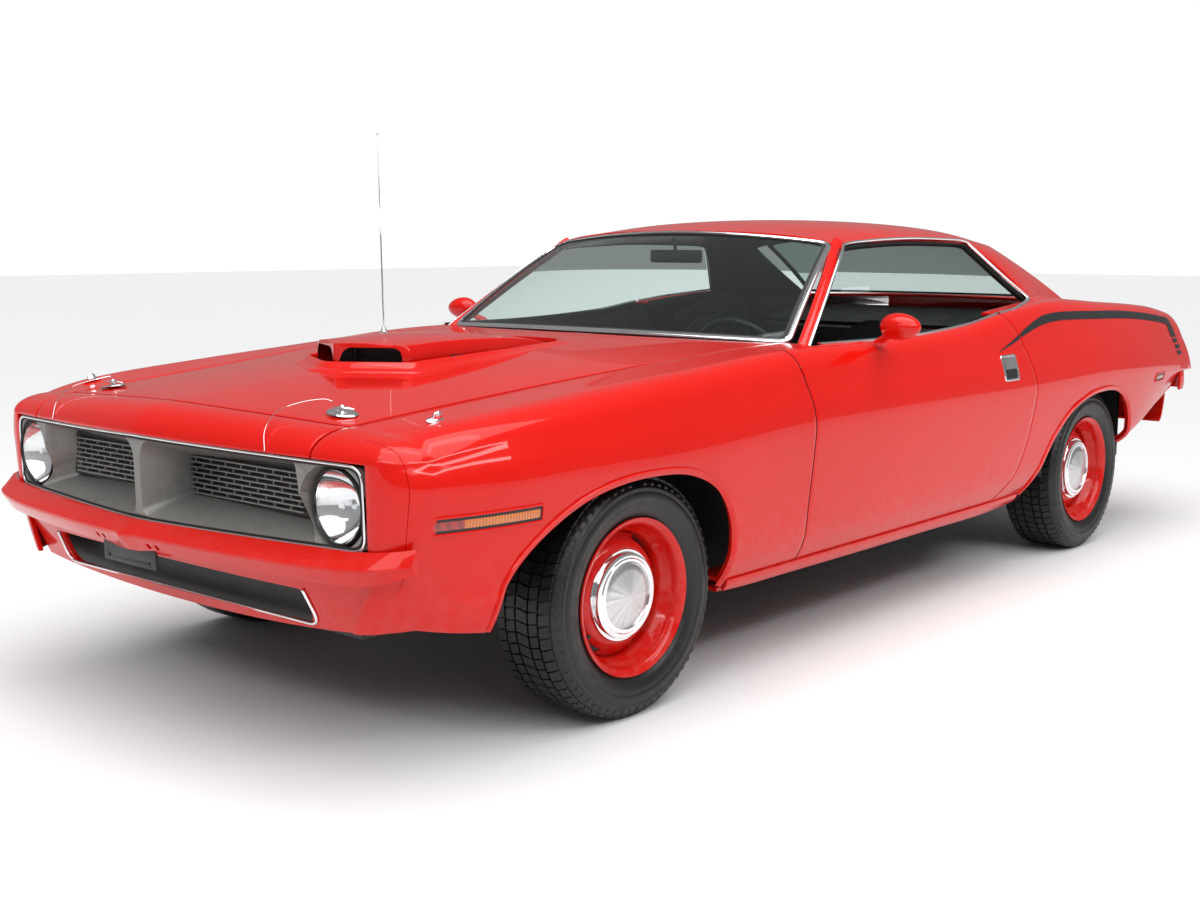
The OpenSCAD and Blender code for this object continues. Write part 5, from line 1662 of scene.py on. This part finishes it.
class MUSCLECAR_OT_wheels(CarPiece, bpy.types.Operator):
    """Tyres, steel wheels and hub caps at the four corners"""
    bl_idname = "muscle_car.wheels"
    bl_label = "Wheels"

    def build(self, settings):
        tyre = turned("tyre", [(-87, 196), (-90, 206), (-97, 216), (-104, 232), (-110, 252), (-112, 262),
                               (-110.6, 272), (-109.6, 274), (-109.4, 280),
                               (-107, 286), (-103, 296), (-94, 305), (-78, 309), (-56, 310), (0, 310),
                               (56, 310), (78, 309), (94, 305), (103, 296),
                               (106.4, 287), (108.6, 285.5), (109.2, 280), (108.4, 276), (110.4, 273),
                               (112, 262), (111.2, 254), (109.4, 251), (109.6, 246),
                               (106, 234), (104.6, 231), (103, 226), (98.6, 218.5), (96.6, 217), (93, 209.5),
                               (89.4, 206), (88.5, 200), (86, 195)],
                      (0, 0, 0), 144)
        tyre = joined("tyre", tyre, tyre_blocks(settings), *shoulder_ribs(settings))
        # Rim with its flange and steps, seen from outside at +X.
        rim = turned("rim", [(-91, 194), (-97, 207), (-93, 208), (-87, 196), (-70, 190), (-40, 176),
                             (-4, 172), (30, 174), (42, 182), (56, 184.5), (64, 188.5), (78, 190),
                             (87, 195), (90, 204), (95, 208), (98.5, 206.5), (96, 200), (90.5, 192),
                             (84, 187), (70, 184.5), (61, 182.5), (56, 178.5), (46, 176.5), (40, 170),
                             (30, 167), (-4, 166), (-44, 170), (-74, 184)], (0, 0, 0), 128)
        disc = turned("disc", [(6, 168), (16, 166), (24, 160), (30, 150), (38, 142), (46, 132), (49, 120),
                               (46, 108), (42, 96), (42, 60), (46, 44), (48, 20), (48, 0.02),
                               (43, 0.02), (43, 18), (40, 40), (37, 60), (37, 98), (40, 110), (42, 120),
                               (39, 130), (32, 138), (24, 146), (16, 156), (10, 160), (4, 162)],
                      (0, 0, 0), 128)
        for k in range(settings.wheel_slots):
            slot = prism("slot", [(r * math.cos(a), r * math.sin(a)) for r, a in
                                  [(149, t) for t in (-0.36, -0.24, -0.12, 0, 0.12, 0.24, 0.36)] + [(164,
                                                                                                     t) for t in (0.30, 0.15, 0, -0.15, -0.30)]], -20, 60)
            moved(slot, Matrix.Rotation(2 * math.pi * (k + 0.5) / settings.wheel_slots, 4, "X"))
            cut(disc, slot)
        soften(disc, 1.2, 40)
        stem = turned("valve_stem", [(0, 0.02), (0, 5.5), (16, 5), (18, 6.5), (34, 6), (36, 4.5), (36, 0.02)],
                      (34, 0, 0), 20)
        moved(stem, Matrix.Rotation(math.radians(118), 4, "X") @ Matrix.Translation(Vector((0, 0, 166)) * MM))
        # Hub cap: a bright ring against the wheel, a waist, and a spun cone inside a polished rim.
        ring = turned("cap_ring", [(46, 96), (47, 120), (50.5, 122), (54, 119.5), (54, 112), (58, 104),
                                   (60, 96)], (0, 0, 0), 96)
        plate = turned("cap_rim", [(56, 90), (58, 108), (62, 112.5), (66, 111.5), (69, 104), (68.4, 100),
                                   (70.6, 97), (70.2, 92), (71.6, 87), (66, 84), (58, 84)], (0, 0, 0), 96)
        cap_trim = joined("cap_trim", ring, plate)
        cone = turned("cap_cone", [(60, 0.02), (60, 84), (67.5, 88), (69.5, 86), (72.5, 66), (77, 40),
                                   (80.4, 18), (82, 6), (82.5, 0.02)], (0, 0, 0), 96)
        shadow = turned("cap_waist", [(44, 60), (44, 98), (58, 98), (58, 60)], (0, 0, 0), 64)
        spoke_attribute(cone)
        for corner, x, y in (("front_left", 758, -1442), ("front_right", -758, -1442),
                             ("rear_left", 771, 1301), ("rear_right", -771, 1301)):
            place = Matrix.Translation(Vector((x, y,
                                               318)) * MM) @ (Matrix() if x > 0 else Matrix.Rotation(math.pi,
                                                                                                     4, "Z"))
            for source, part, slot, node in ((tyre, "tyre", "tyre", "tyre"),
                                             (joined_steel(rim, disc), "wheel", "wheel_paint", "wheel"),
                                             (stem, "valve_stem", "rubber", None),
                                             (cap_trim, "cap_trim", "chrome", None),
                                             (cone, "hub_cap", "brushed", "hub_cap"),
                                             (shadow, "cap_waist", "wheel_paint", None)):
                select_only(source)
                bpy.ops.object.duplicate(linked=False)
                piece = moved(named(corner + "_" + part), place)
                finished(piece, corner + "_wheel", slot, *([corner + "_" + node] if node else []), angle=40)
        for source in [o for o in bpy.data.objects if o.type == "MESH" and o.name in ("tyre", "rim", "disc",
                                                                                      "valve_stem",
                                                                                      "cap_trim", "cap_cone",
                                                                                      "cap_waist")
                       or o.name.startswith("steel_source")]:
            bpy.data.objects.remove(source)


def joined_steel(*pieces):
    """The rim and disc as one piece, made once and used at all four corners."""
    existing = bpy.data.objects.get("steel_source")
    if existing:
        return existing
    return joined("steel_source", *pieces)


def spoke_attribute(piece):
    """Stores each corner's angle round the axle, for the brushing."""
    layer = piece.data.attributes.new("spoke", "FLOAT", "CORNER")
    for face in piece.data.polygons:
        angles = [math.atan2(piece.data.vertices[k].co.z, piece.data.vertices[k].co.y) for k in face.vertices]
        middle = math.atan2(face.center.z, face.center.y)
        for loop, a, k in zip(face.loop_indices, angles, face.vertices):
            co = piece.data.vertices[k].co
            if abs(co.y) + abs(co.z) < 1e-6:
                a = middle
            while a - middle > math.pi:
                a -= 2 * math.pi
            while middle - a > math.pi:
                a += 2 * math.pi
            layer.data[loop].value = a


def shoulder_ribs(settings):
    """Short ribs where the tread meets each sidewall."""
    rows = []
    for side in (1, -1):
        rib = block("rib", (side * 92, -5.2, 294), (side * 105, 5.2, 306.5))
        for vert in rib.data.vertices:
            if abs(vert.co.x) > 0.1:
                vert.co.z -= 0.010
        edit(rib)
        bpy.ops.mesh.normals_make_consistent(inside=False)
        bpy.ops.mesh.spin(steps=settings.tread_pitches, angle=2 * math.pi, dupli=True, center=(0, 0, 0),
                          axis=(1, 0, 0))
        done()
        rows.append(rib)
    return rows


# ---- Cabin ----

class MUSCLECAR_OT_cabin(CarPiece, bpy.types.Operator):
    """High-backed seats, dashboard, steering wheel, door trims and cabin lining"""
    bl_idname = "muscle_car.cabin"
    bl_label = "Cabin"

    def build(self, settings):
        for name, side in SIDES:
            pad = block("cushion", (150, -116, 285), (594, 420, 430))
            modify(pad, "SUBSURF", levels=4, render_levels=4, subdivision_type="SIMPLE")
            for vert in pad.data.vertices:
                x, y, z = vert.co / MM
                u, w = (x - 372) / 222, (y - 152) / 268
                if z > 400:
                    z += 14 * (1 - u * u) * (1 - w * w) - 10 * max(0,
                                                                   1 - abs(abs(u) - 0.62) / 0.06) + 10 * max(0, (abs(u) - 0.66)) - 4 * abs(math.sin(w * 9)) * (abs(u) < 0.6)
                edge = max(0, abs(u) - 0.94) * 60
                vert.co = Vector((x - math.copysign(edge * (abs(z - 360) / 70) ** 2, x - 372), y, z)) * MM
            back = block("backrest", (150, -40, 0), (594, 40, 660))
            modify(back, "SUBSURF", levels=4, render_levels=4, subdivision_type="SIMPLE")
            for vert in back.data.vertices:
                x, y, h = vert.co / MM
                u, k = (x - 372) / 222, h / 660
                narrow = 1 - 0.42 * max(0, k - 0.45) ** 1.4 / 0.55 ** 1.4
                crown = math.sqrt(max(0, 1 - abs(u) ** 3.2))
                thick = mix(1.0, 0.62, k) * (0.55 + 0.45 * crown)
                h2 = h + (0 if k < 0.9 else -46 * abs(u) ** 2.4 * (k - 0.9) / 0.1)
                pleat = -3.5 * abs(math.sin(u * 10)) if (0.06 < k < 0.62 and abs(u) < 0.7 and y < 0) else 0
                lean = 430 + 112 * k + (40 * (k - 0.5) ** 2 if k > 0.5 else 0)
                vert.co = Vector((372 + u * 222 * narrow,
                                  lean - 32 + y * thick * 1.15 + (pleat if y < 0 else 0),
                                  285 + h2 * 0.972)) * MM
            seat = joined(name + "_seat", pad, back)
            if side < 0:
                moved(seat, Matrix.Scale(-1, 4, (1, 0, 0)))
            tidy_mesh(seat)
            modify(seat, "SUBSURF", levels=1, render_levels=1)
            finished(seat, "root", "vinyl", *(["seats"] if side > 0 else []), angle=60)
        for name, low, high in (("rear_cushion", (-558, 692, 290), (558, 1002, 446)),
                                ("rear_backrest", (-552, 1000, 440), (552, 1120, 856))):
            pad = block(name, low, high)
            modify(pad, "SUBSURF", levels=5, render_levels=5, subdivision_type="SIMPLE")
            for vert in pad.data.vertices:
                x, y, z = vert.co / MM
                t = (z - 440) / 416
                if name == "rear_cushion" and z > 420:
                    z += 10 * math.cos(math.pi * (y - 847) / 320) - 6 * abs(math.sin(x / 60))
                if name == "rear_backrest":
                    y += 76 * t - (6 * abs(math.sin(x / 60)) if y < 1040 else 0)
                vert.co = Vector((x, y, z)) * MM
            soften(pad, 22, 50, 4)
            finished(pad, "root", "vinyl", angle=60)

        dash = prism("dashboard", rounded([(-664, 690), (-545, 690), (-505, 730), (-492, 800), (-486, 846),
                                           (-500, 868), (-600, 872), (-664, 872)],
                                          [4, 20, 20, 16, 14, 10, 6, 4], 4), -740, 740)
        console = block("console", (-60, -640, 420), (60, -500, 700), 14)
        hood = prism("cluster_hood", rounded([(-600, 868), (-478, 868), (-470, 884), (-520, 892),
                                              (-610, 876)], 8, 4), 190, 520)
        finished(joined("dashboard", dash, console, hood), "root", "vinyl", "dashboard", angle=40)
        dials = []
        for k, x in enumerate((250, 350, 450)):
            dial = turned("dial", [(0, 0.02), (0, 42), (4, 46), (8, 44), (6, 38), (3, 36), (3, 0.02)],
                          (0, 0, 0), 40)
            dials.append(moved(dial, Matrix.Translation(Vector((x, -490,
                                                                800)) * MM) @ Matrix.Rotation(math.radians(90), 4, "Z")))
        finished(joined("dial_bezels", *dials), "root", "chrome", angle=50)

        rim_ring = turned("wheel_rim", [(11 * math.cos(t * math.pi / 8),
                                         190 + 11 * math.sin(t * math.pi / 8)) for t in range(16)], (0, 0, 0),
                                         96)
        spokes = [block("spoke", (-4, s * 20, -13), (4, s * 184, 13), 3) for s in (1, -1)] + [block("spoke",
                                                                                                    (-4, -13, -184), (4, 13, -20), 3)]
        hub = turned("hub", [(-18, 0.02), (-16, 34), (-4, 42), (8, 42), (14, 30), (16, 0.02)], (0, 0, 0), 48)
        column = turned("column", [(6, 0.02), (6, 22), (262, 26), (262, 0.02)], (0, 0, 0), 32)
        lean = Matrix.Translation(Vector((350, -280, 790)) * MM) @ Matrix.Rotation(math.radians(-62), 4,
                                                                                   "X") @ Matrix.Rotation(math.radians(90), 4, "Y")
        wheel = joined("steering_wheel", rim_ring, hub, column, *spokes)
        finished(moved(wheel, lean), "root", "black_plastic", "steering_wheel", angle=40)

        # Lining: parcel shelf, headliner, quarter trims and door trims.
        for name, side in SIDES:
            trim = sheet(name + "_door_trim", 40, 24, lambda u, v: (
                806 - 3 - 5 * math.sin(math.pi * v) - (10 if 0.42 < v < 0.56 and 0.25 < u < 0.85 else 0),
                mix(-690, 560 + 60 * math.sin(v * 2.6), u), mix(330, 905, v)))
            thicken(trim, 6, 0)
            arm = block("arm_rest", (744, -160, 600), (806, 210, 648), 14)
            crank = block("crank", (772, -300, 610), (800, -180, 622), 4)
            piece = joined(name + "_door_trim", trim, arm, crank)
            if side < 0:
                moved(piece, Matrix.Scale(-1, 4, (1, 0, 0)))
                flip(piece)
            finished(piece, name + "_door", "vinyl", angle=50)
        quarter_trim = sheet("quarter_trims", 24, 20, lambda u,
                             v: (mix(742, 748, v) - 8 * math.sin(math.pi * v), mix(700, 1240, u),
                                 mix(300, 905 + 80 * min(1, u * 1.8), v)))
        finished(mirrored(thicken(quarter_trim, 6, 0)), "root", "vinyl", angle=50)
        liner = sheet("headliner", 40, 40, lambda u,
                      v: roof_point(mix(0.02, 0.98, v), mix(-0.97, 0.97, u)) - Vector((0, 0, 26)))
        finished(thicken(flip_to_floor(liner), 4), "root", "vinyl", angle=60)
        shelf = sheet("parcel_shelf", 20, 8, lambda u,
                      v: (mix(-640, 640, u), mix(1180, 1530, v), mix(872, 930, v)))
        finished(thicken(outwards(shelf), 12), "root", "vinyl")
        stem = swept("mirror_arm", [(0, -232, 1226), (0, -226, 1210), (0, -222, 1190), (0, -218, 1172)],
                     ring_profile(6, 6, 12), (1, 0, 0))
        face = block("mirror_body", (-110, -230, 1140), (110, -206, 1184), 9)
        finished(joined("inside_mirror", stem, face), "root", "black_plastic", angle=50)


def flip_to_floor(piece):
    """Turns an open sheet's faces downwards."""
    total = sum(face.normal.z * face.area for face in piece.data.polygons)
    return flip(piece) if total > 0 else piece


class MUSCLECAR_OT_chassis(CarPiece, bpy.types.Operator):
    """Finishes for the floor, running gear and other parts that keep their CAD shape"""
    bl_idname = "muscle_car.chassis"
    bl_label = "Chassis Finishes"

    def build(self, settings):
        for slot, nodes in (("underbody", ("floor_pan", "wheelhouses", "engine_block")),
                            ("black_paint", ("cowl_panel",)),
                            ("steel", ("front_subframe", "rear_axle", "fuel_tank", "exhaust", "left_knuckle",
                                       "right_knuckle")),
                            ("paint", ("hinge_pillars",))):
            for node in nodes:
                piece = frame["nodes"][node]
                piece.data.materials.clear()
                piece.data.materials.append(FINISHES[slot])


# ---- Stage ----

class MUSCLECAR_OT_stage(CarPiece, bpy.types.Operator):
    """Pale floor, soft studio lights and the camera"""
    bl_idname = "muscle_car.stage"
    bl_label = "Stage"

    def build(self, settings):
        scene = bpy.context.scene
        select_only()
        bpy.ops.mesh.primitive_grid_add(x_subdivisions=4, y_subdivisions=4, size=90)
        floor = named("studio_floor")
        f = Finish("studio_floor", (0.86, 0.86, 0.86), 0.6)
        f.feed(Base_Color=f.blend(f.noise(0.8, 3.0), (0.87, 0.87, 0.87), (0.85, 0.85, 0.855)))
        floor.data.materials.append(f.material)
        world = bpy.data.worlds.new("studio")
        world.use_nodes = True
        world.node_tree.nodes["Background"].inputs["Color"].default_value = (1, 1, 1, 1)
        # The view sees white behind the car; the paint reflects a dimmer room.
        tree = world.node_tree
        seen, level = tree.nodes.new("ShaderNodeLightPath"), tree.nodes.new("ShaderNodeMapRange")
        level.inputs["To Min"].default_value, level.inputs["To Max"].default_value = 0.27, 1.05
        tree.links.new(seen.outputs["Is Camera Ray"], level.inputs["Value"])
        tree.links.new(level.outputs[0], tree.nodes["Background"].inputs["Strength"])
        scene.world = world
        bpy.ops.object.light_add(type="SUN", location=(0, 0, 8),
                                 rotation=(math.radians(14), math.radians(16), 0))
        sun = bpy.context.object
        sun.name, sun.data.energy, sun.data.angle = "ceiling", 2.9, math.radians(80)
        for name, at, aim, size, power in (
                ("overhead_softbox", (0.4, -0.6, 4.6), (0, 0, 0.6), (5.2, 2.0), 60),
                ("left_strip", (4.4, -1.0, 3.4), (0, -0.2, 0.8), (4.2, 0.35), 40),
                ("front_strip", (1.2, -5.6, 3.4), (0, -1.2, 0.7), (3.4, 0.35), 24)):
            bpy.ops.object.light_add(type="AREA", location=at)
            light = bpy.context.object
            light.name = name
            light.data.shape, light.data.size, light.data.size_y, light.data.energy = "RECTANGLE", size[0], size[1], power
            light.rotation_euler = (Vector(aim) - Vector(at)).to_track_quat("-Z", "Y").to_euler()
        bpy.ops.object.camera_add(location=(3.210, -4.200, 1.224),
                                  rotation=(math.radians(90 - 10.05), 0, math.radians(39.32)))
        camera = bpy.context.object
        camera.data.lens, camera.data.sensor_width = 43.64, 36
        camera.data.shift_x, camera.data.shift_y = -0.0539, 0.0388
        camera.data.clip_start, camera.data.clip_end = 0.05, 200
        scene.camera = camera
        scene.view_settings.view_transform = "Standard"
        select_only()


class MUSCLECAR_PT_builder(bpy.types.Panel):
    """Lists the car's building steps"""
    bl_label = "Muscle Car"
    bl_idname = "MUSCLECAR_PT_builder"
    bl_space_type = "VIEW_3D"
    bl_region_type = "UI"
    bl_category = "Muscle Car"

    def draw(self, context):
        settings = context.scene.muscle_car
        for name in MuscleCarSettings.__annotations__:
            self.layout.prop(settings, name)
        for step in STEPS:
            self.layout.operator(step.bl_idname)


STEPS = (MUSCLECAR_OT_stage, MUSCLECAR_OT_front_fenders, MUSCLECAR_OT_arch_lips, MUSCLECAR_OT_nose_header,
         MUSCLECAR_OT_hood,
         MUSCLECAR_OT_shaker_scoop, MUSCLECAR_OT_roof_and_quarters, MUSCLECAR_OT_doors,
         MUSCLECAR_OT_rockers_and_valances,
         MUSCLECAR_OT_front_bumper, MUSCLECAR_OT_front_valance, MUSCLECAR_OT_rear_panels, MUSCLECAR_OT_grille,
         MUSCLECAR_OT_lamps,
         MUSCLECAR_OT_glass, MUSCLECAR_OT_bright_trim, MUSCLECAR_OT_small_fittings, MUSCLECAR_OT_stripes,
         MUSCLECAR_OT_wheels,
         MUSCLECAR_OT_cabin, MUSCLECAR_OT_chassis)
CLASSES = (MuscleCarSettings, *STEPS, MUSCLECAR_PT_builder)


def register():
    for item in CLASSES:
        bpy.utils.register_class(item)
    bpy.types.Scene.muscle_car = bpy.props.PointerProperty(type=MuscleCarSettings)


def unregister():
    del bpy.types.Scene.muscle_car
    for item in reversed(CLASSES):
        bpy.utils.unregister_class(item)


def main():
    register()
    select_only()
    make_finishes(bpy.context.scene.muscle_car)
    for step in STEPS:
        group, name = step.bl_idname.split(".")
        getattr(getattr(bpy.ops, group), name)()


if __name__ == "__main__":
    main()
